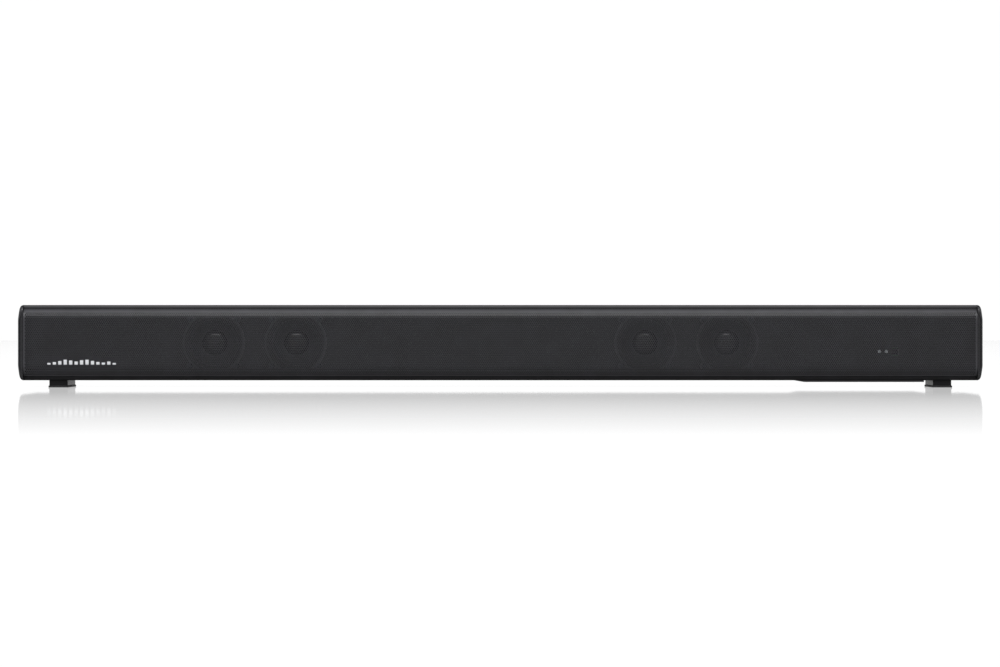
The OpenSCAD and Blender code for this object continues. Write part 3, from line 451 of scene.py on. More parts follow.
def fold(sheet):
    """Folds the two long edges back round the bend."""
    count = len(sheet.data.vertices)
    spots = np.empty(count * 3)
    sheet.data.vertices.foreach_get("co", spots)
    spots = spots.reshape(-1, 3)
    up = spots[:, 2] - sheet_middle
    turn = np.clip((np.abs(up) - flat_half) / BEND_RADIUS, 0, None)
    bent = turn > 0
    spots[bent, 1] = sheet_front + BEND_RADIUS * (1 - np.cos(turn[bent]))
    spots[bent, 2] = sheet_middle + np.sign(up[bent]) * (
        flat_half + BEND_RADIUS * np.sin(turn[bent]))
    sheet.data.vertices.foreach_set("co", spots.ravel())
    sheet.data.update()


def lay_out(sheet):
    """The sheet's own map: its front unrolled below, its back above, and the wall of each hole
    inside its hole."""
    mesh = sheet.data
    spots = np.empty(len(mesh.vertices) * 3)
    mesh.vertices.foreach_get("co", spots)
    spots = spots.reshape(-1, 3)
    normals = np.empty(len(mesh.polygons) * 3)
    mesh.polygons.foreach_get("normal", normals)
    normals = normals.reshape(-1, 3)
    counts = np.empty(len(mesh.polygons), int)
    mesh.polygons.foreach_get("loop_total", counts)
    corners = np.empty(len(mesh.loops), int)
    mesh.loops.foreach_get("vertex_index", corners)
    up = spots[:, 2] - sheet_middle
    out = np.clip(np.abs(up) - flat_half, 0, None)
    depth = sheet_front + BEND_RADIUS - spots[:, 1]
    bent = out > 0
    turn = np.where(bent, np.arctan2(out, depth), 0)
    radius = np.where(bent, np.hypot(out, depth), depth)
    x = spots[:, 0]
    s = np.where(bent, np.sign(up) * (flat_half + BEND_RADIUS * turn), up)
    front = radius > BEND_RADIUS - SHEET / 2
    # The middle of the hole that each corner is nearest to
    row = np.clip(np.round((s + sheet_middle - first_row) / row_step), 0, 2 * ROW_PAIRS - 1)
    shift = np.where(row % 2 == 1, HOLE_PITCH / 2, 0) + punched_left + HOLE_PITCH / 2
    hole_x = np.round((x - shift) / HOLE_PITCH) * HOLE_PITCH + shift
    hole_s = first_row + row * row_step - sheet_middle
    at_hole = np.hypot(x - hole_x, s - hole_s) < HOLE_HALF * 1.3
    facing = np.stack([np.zeros_like(turn), -np.cos(turn), np.sign(up) * np.sin(turn)], 1)
    first = np.concatenate([[0], np.cumsum(counts)[:-1]])
    leaning = (normals * facing[corners[first]]).sum(1)
    kind = np.repeat(np.where(leaning > 0.5, 0, np.where(leaning < -0.5, 1, 2)), counts)
    px, ps = x[corners].copy(), s[corners].copy()
    wall = kind == 2
    inner = wall & ~front[corners] & at_hole[corners]
    px[inner] = hole_x[corners][inner] + 0.5 * (px[inner] - hole_x[corners][inner])
    ps[inner] = hole_s[corners][inner] + 0.5 * (ps[inner] - hole_s[corners][inner])
    centre_x = (x.min() + x.max()) / 2
    rim = wall & ~front[corners] & ~at_hole[corners]
    px[rim] += np.sign(px[rim] - centre_x) * 0.4 * MM
    ps[rim] += np.sign(ps[rim]) * 0.2 * MM
    u = 0.01 + 0.98 * (px - x.min() + MM) / (x.max() - x.min() + 2 * MM)
    v = 0.02 + 0.46 * (ps + unrolled_half + MM) / (2 * unrolled_half + 2 * MM)
    v = np.where(kind == 1, v + 0.5, v)
    layer = mesh.uv_layers.new(name="OFBake")
    layer.data.foreach_set("uv", np.stack([u, v], 1).ravel())


# Powder coat on steel: a dark neutral grey, satin, with a slight orange peel of about 1.5 mm.
grille_coat = moulded("dark_powder_coat", "#27272a", "#2d2d31", 0.38, 0.48, 1.5 * MM, 0.01 * MM)
for number in range(LENGTHS):
    sheet = grille_length(number)
    fold(sheet)
    only(sheet)
    bpy.ops.object.modifier_add(type="SOLIDIFY")
    thickness = sheet.modifiers[-1]
    thickness.thickness = SHEET
    thickness.offset = -1
    thickness.use_even_offset = False
    bpy.ops.object.modifier_apply(modifier=thickness.name)
    bpy.ops.object.shade_smooth_by_angle(angle=math.radians(30))
    lay_out(sheet)
    place(sheet, grille_coat, "case", "grille_steel", "grille")

# The rails are soft black plastic strips that hold the folded edges to the baffle by their pegs.
dress(inner_abs, "grille_top_rail", "grille_bottom_rail")


# ---- Badge ----
# A row of thirteen small bars of different heights, like a level display. They are stamped from
# aluminium, brushed along the bar, and stuck to the grille near its lower left corner.

BADGE_EDGE = 0.18 * MM


def solids(node):
    """The lowest and highest corners of each separate solid of a CAD node."""
    only()
    copy = frame["nodes"][node].copy()
    copy.data = copy.data.copy()
    copy.parent = None
    bpy.context.scene.collection.objects.link(copy)
    pick(copy, "VERT", lambda v: True)
    bpy.ops.mesh.remove_doubles(threshold=0.002 * MM)
    bpy.ops.mesh.separate(type="LOOSE")
    bpy.ops.object.mode_set(mode="OBJECT")
    found = []
    for part in list(bpy.context.selected_objects):
        spots = np.array([v.co for v in part.data.vertices])
        found.append((Vector(spots.min(0)), Vector(spots.max(0))))
    bpy.ops.object.delete()
    return sorted(found, key=lambda box: tuple(round(c, 5) for c in box[0]))


bars = []
for low, high in solids("badge"):
    bar = block("bar", low, high)
    round_edges(bar, lambda e: middle(e).y < high.y - 0.05 * MM, BADGE_EDGE, 3)
    bars.append(bar)
badge = settle(join("badge_bars", bars), flats=True)

# Brushed aluminium: bright and neutral, with streaks about 0.15 mm wide along X.
badge_metal, tree, shader, where = surface("brushed_aluminium", metallic=1.0)
stretch = add(tree, "Mapping", {"Vector": where}, in_3=(1 / (6 * MM), 1 / (0.3 * MM), 1 / (0.15 * MM)))
streaks = add(tree, "TexNoise", {"Vector": stretch.outputs[0]}, in_2=1.0, in_3=3.0)
tint(tree, shader, streaks.outputs["Fac"], "#d9dbde", "#f2f3f4")
roughen(tree, shader, streaks.outputs["Fac"], 0.42, 0.6)
emboss(tree, shader, streaks.outputs["Fac"], 0.4, 0.01 * MM)
place(badge, badge_metal, "case", "badge_metal", "badge")


# ---- Drivers ----
# Four 60 mm drivers behind the grille. Each has a pressed steel basket with a ring magnet, a cone
# of black polypropylene on a paper former, a glossy dust cap, a half-roll rubber surround and a
# corrugated cloth spider. The cone and the cap move.


def turned(name, centre, axis, rings, sides=64, start="NOTHING"):
    """A turned shape: a circle is extruded and scaled from ring to ring along an axis, 0 for X, 1
    for Y and 2 for Z. A ring is its radius and its place on the axis, and radius 0 is a point."""
    centre = Vector(centre)
    unit = Vector((axis == 0, axis == 1, axis == 2))
    tilt = [(0, math.pi / 2, 0), (-math.pi / 2, 0, 0), (0, 0, 0)][axis]
    spot = centre.copy()
    spot[axis] = rings[0][1]
    only()
    bpy.ops.mesh.primitive_circle_add(vertices=sides, radius=rings[0][0], fill_type=start,
                                      location=spot, rotation=tilt)
    piece = bpy.context.object
    piece.name = name
    bpy.ops.object.transform_apply(location=True, rotation=True, scale=True)
    pick(piece, "EDGE", lambda e: e.is_boundary or e.is_wire)
    for (r0, a0), (r1, a1) in zip(rings, rings[1:]):
        bpy.ops.mesh.extrude_edges_move(TRANSFORM_OT_translate={"value": unit * (a1 - a0)})
        spot[axis] = a1
        if r1 == 0:
            bpy.ops.mesh.merge(type="CENTER")
        elif abs(r1 - r0) > 1e-9:
            factor = Vector((r1 / r0,) * 3)
            factor[axis] = 1
            bpy.ops.transform.resize(value=factor, center_override=spot)
    bpy.ops.mesh.select_all(action="SELECT")
    bpy.ops.mesh.remove_doubles(threshold=0.002 * MM)
    bpy.ops.mesh.normals_make_consistent(inside=False)
    bpy.ops.object.mode_set(mode="OBJECT")
    return piece


def thicken(piece, amount, offset):
    """Gives a sheet its wall. offset is -1 for a wall behind the sheet and 0 for half each way."""
    only(piece)
    bpy.ops.object.modifier_add(type="SOLIDIFY")
    wall = piece.modifiers[-1]
    wall.thickness = amount
    wall.offset = offset
    wall.use_even_offset = True
    bpy.ops.object.modifier_apply(modifier=wall.name)


def copy_of(piece, name, shift):
    """A copy with its own mesh, moved."""
    only(piece)
    bpy.ops.object.duplicate()
    copy = bpy.context.object
    copy.name = name
    bpy.ops.transform.translate(value=shift)
    bpy.ops.object.transform_apply(location=True, rotation=True, scale=True)
    return copy


CONE_RADIUS = 22.6 * MM
FORMER_RADIUS = 7.4 * MM
CAP_RADIUS = 12.4 * MM
CAP_RISE = 4.6 * MM
ROLL_RADIUS = 1.95 * MM
CONE_WALL = 0.8 * MM
FLANGE = 2 * MM
SPIDER_RISE = 2.8 * MM

baffle_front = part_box("front_baffle")[0].y
cone_low, cone_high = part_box("driver_1_cone")
driver_spot = Vector(((cone_low.x + cone_high.x) / 2, 0, (cone_low.z + cone_high.z) / 2))
cone_rim = cone_low.y
former_end = cone_high.y
neck = baffle_front + 14 * MM


def cone_front(radius):
    """The place on Y of the cone's front face."""
    share = (radius - FORMER_RADIUS) / (CONE_RADIUS - 1.1 * MM - FORMER_RADIUS)
    return neck - CONE_WALL + share * (cone_rim - neck + CONE_WALL)


# The cone, as one closed wall: its rim, its back, the former and its front with three ribs
profile = [(CONE_RADIUS, cone_rim), (CONE_RADIUS, cone_rim + CONE_WALL),
           (CONE_RADIUS - CONE_WALL, cone_rim + CONE_WALL), (FORMER_RADIUS + 0.4 * MM, neck),
           (FORMER_RADIUS + 0.4 * MM, former_end), (FORMER_RADIUS, former_end),
           (FORMER_RADIUS, neck - CONE_WALL)]
for rib in (13.6, 16.2, 18.8):
    for step, rise in ((-0.5, 0), (-0.2, 0.16), (0.2, 0.16), (0.5, 0)):
        r = (rib + step) * MM
        profile.append((r, cone_front(r) - rise * MM))
profile += [(CONE_RADIUS - 1.1 * MM, cone_rim), (CONE_RADIUS, cone_rim)]
cone = settle(turned("cone_1_paper", driver_spot, 1, profile), 40)

# The dust cap, a shallow dome with a small turned edge
ball = (CAP_RADIUS**2 + CAP_RISE**2) / (2 * CAP_RISE)
cap_edge = cone_front(CAP_RADIUS) - 0.15 * MM
widest = math.asin(CAP_RADIUS / ball)
profile = []
for step in range(13):
    angle = widest * (1 - step / 12)
    profile.append((ball * math.sin(angle), cap_edge - CAP_RISE + ball - ball * math.cos(angle)))
profile[-1] = (0, cap_edge - CAP_RISE)
dust_cap = turned("cap_1_dome", driver_spot, 1, profile, 72)
thicken(dust_cap, 0.5 * MM, -1)
settle(dust_cap, 50)

# The surround: a lip on the basket's flange, the roll and a skirt down to the cone
flange_front = baffle_front - FLANGE
skirt = CONE_RADIUS - 0.15 * MM
roll_middle = skirt + ROLL_RADIUS
profile = [(roll_middle + ROLL_RADIUS + 1.9 * MM, flange_front - 0.25 * MM),
           (roll_middle + ROLL_RADIUS + 0.3 * MM, flange_front - 0.25 * MM)]
for step in range(13):
    angle = math.pi * step / 12
    profile.append((roll_middle + (ROLL_RADIUS - 0.22 * MM) * math.cos(angle),
                    flange_front - 0.3 * MM - (ROLL_RADIUS - 0.22 * MM) * math.sin(angle)))
for share in (0.25, 0.5, 0.75, 1):
    profile.append((skirt + 0.22 * MM, flange_front - 0.3 * MM + share * (cone_rim - flange_front)))
profile.append((skirt - 1 * MM, cone_rim - 0.3 * MM))
surround = turned("surround_1", driver_spot, 1, profile)
thicken(surround, 0.4 * MM, 0)
settle(surround, 60)

# The spider: five ripples between the former and the basket's ledge
profile = []
for step in range(41):
    share = step / 40
    r = FORMER_RADIUS + 0.55 * MM + share * 11.2 * MM
    slope = min(1, share / 0.8)
    y = neck + 2.6 * MM - SPIDER_RISE * slope * slope * (3 - 2 * slope)
    ripple = 0.35 * MM * math.sin(share * 10 * math.pi) * math.sin(math.pi * share)
    profile.append((r, y + ripple))
spider = turned("spider_1", driver_spot, 1, profile, 48)
thicken(spider, 0.3 * MM, 0)
settle(spider, 60)

# Polypropylene, injection moulded: near black with a faint blue, satin.
cone_plastic = moulded("black_polypropylene", "#0e0f11", "#15161a", 0.3, 0.42, 1.2 * MM,
                       0.02 * MM, ior=1.49)
# Lacquered cap: the same black polished, so that it shows a light as a small bright curve.
cap_gloss, tree, shader, where = surface("gloss_lacquer", ior=1.48)
clouds = add(tree, "TexNoise", {"Vector": where}, in_2=1 / (6 * MM), in_3=2.0)
tint(tree, shader, clouds.outputs["Fac"], "#08080a", "#0d0d10")
roughen(tree, shader, clouds.outputs["Fac"], 0.15, 0.19)
# Butyl rubber: dull black with a soft grey bloom.
surround_rubber = moulded("butyl_rubber", "#0c0c0d", "#131314", 0.5, 0.68, 1.0 * MM, 0.03 * MM)
# Impregnated cotton: ochre, with its threads about 0.5 mm apart.
spider_cloth, tree, shader, where = surface("impregnated_cotton")
weave = [add(tree, "TexWave", {"Vector": where}, bands_direction=way, in_1=1 / (3.2 * MM))
         for way in ("X", "Z")]
crossed = add(tree, "Math", {0: weave[0].outputs["Fac"], 1: weave[1].outputs["Fac"]},
              operation="MULTIPLY")
tones = add(tree, "ValToRGB", {"Fac": crossed.outputs[0]},
            stops=[(0.0, linear("#6d5423")), (0.6, linear("#b08c43"))])
tree.links.new(tones.outputs["Color"], shader.inputs["Base Color"])
shader.inputs["Roughness"].default_value = 0.8
shader.inputs["Sheen Weight"].default_value = 0.2
emboss(tree, shader, crossed.outputs[0], 0.5, 0.05 * MM)

for number in range(1, 5):
    body = f"cone_{number}"
    low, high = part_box(f"driver_{number}_cone")
    shift = Vector(((low.x + high.x) / 2 - driver_spot.x, 0, 0))
    if number == 1:
        made = [cone, dust_cap, surround, spider]
    else:
        made = [copy_of(piece, piece.name.replace("1", str(number)), shift)
                for piece in (cone, dust_cap, surround, spider)]
    place(made[0], cone_plastic, body if number > 1 else None, "cone_plastic",
          f"driver_{number}_cone")
    place(made[1], cap_gloss, body if number > 1 else None, "cap_gloss",
          f"driver_{number}_dust_cap")
    for piece, material in ((made[2], surround_rubber), (made[3], spider_cloth)):
        place(piece, material, None, "surround_rubber", f"driver_{number}_suspension")
    if number > 1:
        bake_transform(made[2])
        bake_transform(made[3])
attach(cone, "cone_1")
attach(dust_cap, "cone_1")
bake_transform(surround)
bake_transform(spider)

# Pressed steel, black phosphate: dark and slightly blotched. The motor is zinc-plated plates
# round a grey ferrite ring.
basket_steel = moulded("phosphated_steel", "#17181a", "#222326", 0.34, 0.5, 1.2 * MM, 0.02 * MM,
                       ior=1.6, cloud=5 * MM)
dress(basket_steel, *[f"driver_{n}_basket" for n in range(1, 5)])
ferrite_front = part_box("driver_1_magnet")[0].y + 2.5 * MM
ferrite_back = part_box("driver_1_magnet")[1].y - 3 * MM
motor_metal, tree, shader, where = surface("zinc_and_ferrite")
depth = add(tree, "SeparateXYZ", {"Vector": where})
inside = add(tree, "Math", {0: depth.outputs["Y"]}, operation="COMPARE",
             in_1=(ferrite_front + ferrite_back) / 2, in_2=(ferrite_back - ferrite_front) / 2)
spangle = add(tree, "TexVoronoi", {"Vector": where}, in_2=1 / (2.5 * MM))
zinc = add(tree, "ValToRGB", {"Fac": spangle.outputs["Distance"]},
           stops=[(0.0, linear("#8f9296")), (1.0, linear("#a9acb0"))])
grit = add(tree, "TexNoise", {"Vector": where}, in_2=1 / (0.8 * MM))
ferrite = add(tree, "ValToRGB", {"Fac": grit.outputs["Fac"]},
              stops=[(0.3, linear("#2b2c2e")), (0.7, linear("#3a3b3e"))])
mixed = add(tree, "Mix", {0: inside.outputs[0], 6: zinc.outputs["Color"], 7: ferrite.outputs["Color"]},
            data_type="RGBA")
tree.links.new(mixed.outputs[2], shader.inputs["Base Color"])
metal_share = add(tree, "Math", {1: inside.outputs[0]}, operation="SUBTRACT", in_0=1.0)
tree.links.new(metal_share.outputs[0], shader.inputs["Metallic"])
rough = add(tree, "MapRange", {"Value": inside.outputs[0]}, in_3=0.35, in_4=0.7)
tree.links.new(rough.outputs["Result"], shader.inputs["Roughness"])
dress(motor_metal, *[f"driver_{n}_magnet" for n in range(1, 5)])


# ---- Bass ports ----
# Two black polypropylene tubes, let into the rear panel. Each has a thin flange outside and its
# mouth flares over a 3 mm radius, so that the air leaves quietly.

PORT_RADIUS = 14 * MM
PORT_WALL = 2 * MM
FLARE_RADIUS = 3 * MM
FLANGE_THICKNESS = 1.2 * MM


def port(name, node):
    low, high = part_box(node)
    centre = (low + high) / 2
    flange = (high.x - low.x) / 2
    outer = PORT_RADIUS + PORT_WALL
    rings = [(flange, high.y - 0.3 * MM), (flange, high.y - FLANGE_THICKNESS),
             (outer, high.y - FLANGE_THICKNESS), (outer, low.y + 0.4 * MM),
             (outer - 0.4 * MM, low.y), (PORT_RADIUS + 0.4 * MM, low.y),
             (PORT_RADIUS, low.y + 0.4 * MM)]
    for step in range(11):
        angle = math.pi / 2 * step / 10
        rings.append((PORT_RADIUS + FLARE_RADIUS * (1 - math.cos(angle)),
                      high.y - FLARE_RADIUS + FLARE_RADIUS * math.sin(angle)))
    rings += [(flange - 0.3 * MM, high.y), (flange, high.y - 0.3 * MM)]
    return settle(turned(name, centre, 1, rings, 72), 35)


# Black polypropylene: like the cones, with the swirl of a core pin inside.
port_plastic = moulded("port_polypropylene", "#101012", "#17171a", 0.28, 0.4, 2.0 * MM, 0.02 * MM)
place(port("left_port", "port_left"), port_plastic, "case", "moulded_plastic", "port_left")
place(port("right_port", "port_right"), port_plastic, "case", "moulded_plastic", "port_right")


# ---- Feet ----
# Two short bars of hard black plastic, screwed up into the base near its ends. A rubber pad,
# slightly larger than the foot, is stuck under each, with grooves that keep it from sliding.

FOOT_CORNER = 2 * MM
PAD_CORNER = 2.8 * MM


def foot(name, node):
    low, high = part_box(node)
    piece = block(name, low, high)
    round_edges(piece, lambda e: along(e, 2), FOOT_CORNER, 8)
    round_edges(piece, lambda e: middle(e).z < low.z + 0.01 * MM, 0.4 * MM, 3)
    return settle(piece, flats=True)


def pad(name, node):
    low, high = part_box(node)
    piece = block(name, low, high)
    round_edges(piece, lambda e: along(e, 2), PAD_CORNER, 8)
    round_edges(piece, lambda e: middle(e).z > high.z - 0.01 * MM
                or middle(e).z < low.z + 0.01 * MM, 0.35 * MM, 3)
    grooves = []
    for k in range(-3, 4):
        y = (low.y + high.y) / 2 + k * 6 * MM
        grooves.append(block("groove", (low.x + 3 * MM, y - 0.7 * MM, low.z - MM),
                             (high.x - 3 * MM, y + 0.7 * MM, low.z + 0.6 * MM)))
    cut(piece, join("grooves", grooves))
    return settle(piece, flats=True)


# Glass-filled nylon, moulded, with a silky sheen at a slant. Its near-black tone and weak gleam
# are painted shade: they stand in for the shade under the bar.
foot_nylon = moulded("foot_nylon", "#0a0a0b", "#0f0f10", 0.34, 0.42, 1.0 * MM, 0.02 * MM, ior=1.53,
                     shine=0.15)
# Moulded rubber: dull, the darkest part of the bar.
pad_rubber = moulded("pad_rubber", "#0b0b0c", "#111112", 0.6, 0.75, 0.8 * MM, 0.03 * MM)
for side in ("left", "right"):
    place(foot(f"{side}_foot", f"foot_{side}"), foot_nylon, "case", "moulded_plastic", f"foot_{side}")
    place(pad(f"{side}_pad", f"foot_pad_{side}"), pad_rubber, "case", "foot_rubber",
          f"foot_pad_{side}")


# ---- Bay cover ----
# A thin ABS plate closes the service opening under the electronics. Its left end is bevelled down
# from the base, and four screws in shallow recesses hold it.

COVER_BEVEL = 9 * MM


def bay_cover():
    low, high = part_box("bay_cover")
    plate = block("service_cover", low, high)
    pick(plate, "VERT", lambda v: v.co.x < low.x + 0.01 * MM and v.co.z < low.z + 0.01 * MM)
    bpy.ops.transform.translate(value=(COVER_BEVEL, 0, 0))
    bpy.ops.object.mode_set(mode="OBJECT")
    round_edges(plate, lambda e: middle(e).z < low.z + 0.01 * MM, 0.5 * MM, 3)
    drills = []
    for screw_low, screw_high in solids("case_screws"):
        spot = (screw_low + screw_high) / 2
        if screw_low.z < high.z and low.x < spot.x < high.x:
            only()
            bpy.ops.mesh.primitive_cylinder_add(vertices=32, radius=3 * MM, depth=2 * MM,
                                                location=(spot.x, spot.y, low.z))
            drills.append(bpy.context.object)
    cut(plate, join("drills", drills))
    return settle(plate, flats=True)


# Moulded ABS, smoother than the base. Its paler tone is a painted sheen: it stands in for the
# floor's light on the plate's lower strip, and it sets the plate apart from the base.
cover_abs = moulded("cover_abs", "#1d1d20", "#262629", 0.34, 0.46, 1.0 * MM, 0.02 * MM)
place(bay_cover(), cover_abs, "case", "moulded_plastic", "bay_cover")


# ---- Buttons ----
# Four round keys of black ABS in the right end cap, each with a dished top and a flange behind the
# cap that keeps it in. Small raised marks tell them apart by touch.

KEY_RADIUS = 4 * MM
KEY_FLANGE_RADIUS = 4.9 * MM


def key(name, node, marks):
    low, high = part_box(node)
    centre = (low + high) / 2
    top = high.x
    rings = [(KEY_FLANGE_RADIUS, low.x), (KEY_FLANGE_RADIUS, low.x + MM), (KEY_RADIUS, low.x + MM),
             (KEY_RADIUS, top - 0.6 * MM)]
    for angle in (30, 60, 90):
        a = math.radians(angle)
        rings.append((KEY_RADIUS - 0.5 * MM * (1 - math.cos(a)), top - 0.5 * MM * (1 - math.sin(a))))
    rings += [(3.2 * MM, top - 0.04 * MM), (2.4 * MM, top - 0.28 * MM), (1.2 * MM, top - 0.42 * MM),
              (0, top - 0.46 * MM)]
    parts = [turned(name, centre, 0, rings, 48, "TRIFAN")]
    for half_y, half_z in marks:
        mark = block("mark", (top - 0.7 * MM, centre.y - half_y, centre.z - half_z),
                     (top - 0.2 * MM, centre.y + half_y, centre.z + half_z))
        round_edges(mark, lambda e: middle(e).x > top - 0.25 * MM, 0.08 * MM, 2)
        parts.append(mark)
    return settle(join(name, parts), 35)


# Satin ABS, finer than the cap round it, so the keys read as a shade apart.
key_abs = moulded("key_abs", "#1b1b1e", "#232327", 0.2, 0.3, 0.7 * MM, 0.01 * MM)
KEY_MARKS = {
    "volume_down_button": [(1.3 * MM, 0.25 * MM)],
    "volume_up_button": [(1.3 * MM, 0.25 * MM), (0.25 * MM, 1.3 * MM)],
    "source_button": [(0.5 * MM, 0.5 * MM)],
    "power_button": [(0.25 * MM, 1.3 * MM)],
}
for node, marks in KEY_MARKS.items():
    place(key(node.replace("button", "key"), node, marks), key_abs, node, "button_plastic", node)


# ---- Sockets ----
# On the back, at the right: a two-pin mains inlet, an optical input with a hinged shutter, and an
# aux jack. Each is a black nylon moulding let into the rear panel.

INLET_HALF = Vector((10, 0, 6.5)) * MM
INLET_DEPTH = 17 * MM
SLOT_HALF = Vector((7.8, 0, 4.2)) * MM
SLOT_DEPTH = 13 * MM
PIN_RADIUS = 1.2 * MM
PIN_SPACING = 8.6 * MM
PIN_SET_BACK = 3 * MM
OPTICAL_RIM = 1.7 * MM
OPTICAL_DEPTH = 11 * MM
JACK_RADIUS = 1.8 * MM
JACK_DEPTH = 14 * MM


def mains_inlet():
    """The housing with its slot, and the two pins."""
    low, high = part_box("mains_inlet")
    centre = (low + high) / 2
    centre.y = 0
    housing = block("mains_inlet_housing", (low.x, high.y - 1.8 * MM, low.z), high)
    round_edges(housing, lambda e: along(e, 1), 2 * MM, 6)
    round_edges(housing, lambda e: middle(e).y > high.y - 0.01 * MM, 0.3 * MM, 2)
    body = block("body", centre - INLET_HALF + Vector((0, high.y - INLET_DEPTH, 0)),
                 centre + INLET_HALF + Vector((0, high.y - 1.2 * MM, 0)))
    cut(housing, body, "UNION")
    slot = block("slot", centre - SLOT_HALF + Vector((0, high.y - SLOT_DEPTH, 0)),
                 centre + SLOT_HALF + Vector((0, high.y + MM, 0)))
    round_edges(slot, lambda e: along(e, 1), 4.1 * MM, 12)
    cut(housing, slot)
    pins = []
    for side in (-1, 1):
        spot = centre + Vector((side * PIN_SPACING / 2, 0, 0))
        end = high.y - PIN_SET_BACK
        rings = [(PIN_RADIUS, low.y), (PIN_RADIUS, end - 0.9 * MM), (PIN_RADIUS * 0.85, end - 0.35 * MM),
                 (PIN_RADIUS * 0.5, end - 0.05 * MM), (0, end)]
        pins.append(turned("pin", spot, 1, rings, 24, "TRIFAN"))
    return settle(housing, flats=True), settle(join("mains_inlet_pins", pins), 40)


def optical_input():
    """The square housing, open at the back of the bar."""
    low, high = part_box("optical_socket")
    piece = block("optical_housing", low, high)
    pick(piece, "FACE", lambda f: f.normal.y > 0.9)
    bpy.ops.mesh.inset(thickness=OPTICAL_RIM)
    bpy.ops.mesh.extrude_region_move(TRANSFORM_OT_translate={"value": (0, -OPTICAL_DEPTH, 0)})
    bpy.ops.object.mode_set(mode="OBJECT")
    round_edges(piece, lambda e: abs(middle(e).y - high.y) < 0.01 * MM, 0.25 * MM, 2)
    return settle(piece, flats=True)


def shutter():
    """The flap that hangs in the optical housing, with its hinge pin along its top."""
    low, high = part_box("optical_flap")
    middle_y = (low.y + high.y) / 2
    plate = block("optical_shutter", (low.x, middle_y - 0.4 * MM, low.z),
                  (high.x, middle_y + 0.4 * MM, high.z - 0.5 * MM))
    round_edges(plate, lambda e: middle(e).z < low.z + 0.01 * MM, 0.2 * MM, 2)
    rings = [((high.y - low.y) / 2, low.x), ((high.y - low.y) / 2, high.x)]
    pin = turned("pin", (0, middle_y, high.z - 0.5 * MM), 0, rings, 20, "TRIFAN")
    pick(pin, "EDGE", lambda e: e.is_boundary)
    bpy.ops.mesh.edge_face_add()
    bpy.ops.object.mode_set(mode="OBJECT")
    return settle(join("optical_shutter", [plate, pin]))


def aux_jack():
    """The barrel and body of the jack, and the plated sleeve that lines its bore."""
    low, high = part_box("aux_jack")
    spot = [m for m in frame["record"]["mounts"] if m["name"] == "aux_jack_bore"][0]["pos_m"]
    centre = Vector((spot[0], 0, spot[2]))
    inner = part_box("rear_panel")[1].y - 3 * MM
    rings = [(4 * MM, inner - 1 * MM), (4 * MM, high.y - 0.3 * MM), (3.7 * MM, high.y),
             (2.6 * MM, high.y), (2.6 * MM, high.y - 0.3 * MM), (JACK_RADIUS, high.y - 0.3 * MM),
             (JACK_RADIUS, high.y - JACK_DEPTH), (0, high.y - JACK_DEPTH)]
    barrel = turned("aux_jack_barrel", centre, 1, rings, 48)
    body = block("aux_jack_body", (low.x, low.y, low.z), (high.x, inner - 0.2 * MM, high.z))
    round_edges(body, lambda e: along(e, 1), 0.6 * MM, 3)
    only()
    bpy.ops.mesh.primitive_cylinder_add(vertices=48, radius=1.85 * MM, depth=24 * MM,
                                        location=(centre.x, high.y - 2.05 * MM, centre.z),
                                        rotation=(math.pi / 2, 0, 0))
    cut(body, bpy.context.object)
    rings = [(2.58 * MM, high.y - 0.25 * MM), (2.5 * MM, high.y - 0.02 * MM), (2.0 * MM, high.y - 0.1 * MM),
             (1.82 * MM, high.y - 0.5 * MM), (1.82 * MM, high.y - 6 * MM)]
    sleeve = turned("aux_jack_sleeve", centre, 1, rings, 48)
    return settle(join("aux_jack_housing", [barrel, body]), 40), settle(sleeve, 40)


# Black nylon: harder and a little glossier than the panel round it.
socket_nylon = moulded("socket_nylon", "#0f0f11", "#161618", 0.26, 0.36, 0.8 * MM, 0.01 * MM, ior=1.53)
# Nickel-plated brass: bright, with faint turning marks 0.2 mm apart along Y.
plated, tree, shader, where = surface("nickel_plated_brass", metallic=1.0)
squeeze = add(tree, "Mapping", {"Vector": where}, in_3=(60, 1 / (0.2 * MM), 60))
marks = add(tree, "TexNoise", {"Vector": squeeze.outputs[0]}, in_2=1.0, in_3=2.0)
tint(tree, shader, marks.outputs["Fac"], "#b9b3a4", "#d6d1c4")
roughen(tree, shader, marks.outputs["Fac"], 0.15, 0.3)

housing, pins = mains_inlet()
place(housing, socket_nylon, "case", "socket_plastic", "mains_inlet")
place(pins, plated, "case", "socket_plastic", "mains_inlet")
place(optical_input(), socket_nylon, "case", "socket_plastic", "optical_socket")
place(shutter(), key_abs, "optical_flap", "socket_plastic", "optical_flap")
jack, sleeve = aux_jack()
place(jack, socket_nylon, "case", "socket_plastic", "aux_jack")
place(sleeve, plated, "case", "socket_plastic", "aux_jack")


# ---- Screws ----
# Pan-head self-tapping screws of blackened steel with a cross recess. They hold the drivers, the
# baffle, the rear panel, the caps, the feet, the cover and the boards.

SHANK_RADIUS = 1.25 * MM
TIP_LENGTH = 1.2 * MM
RECESS_HALF_WIDTH = 0.28 * MM


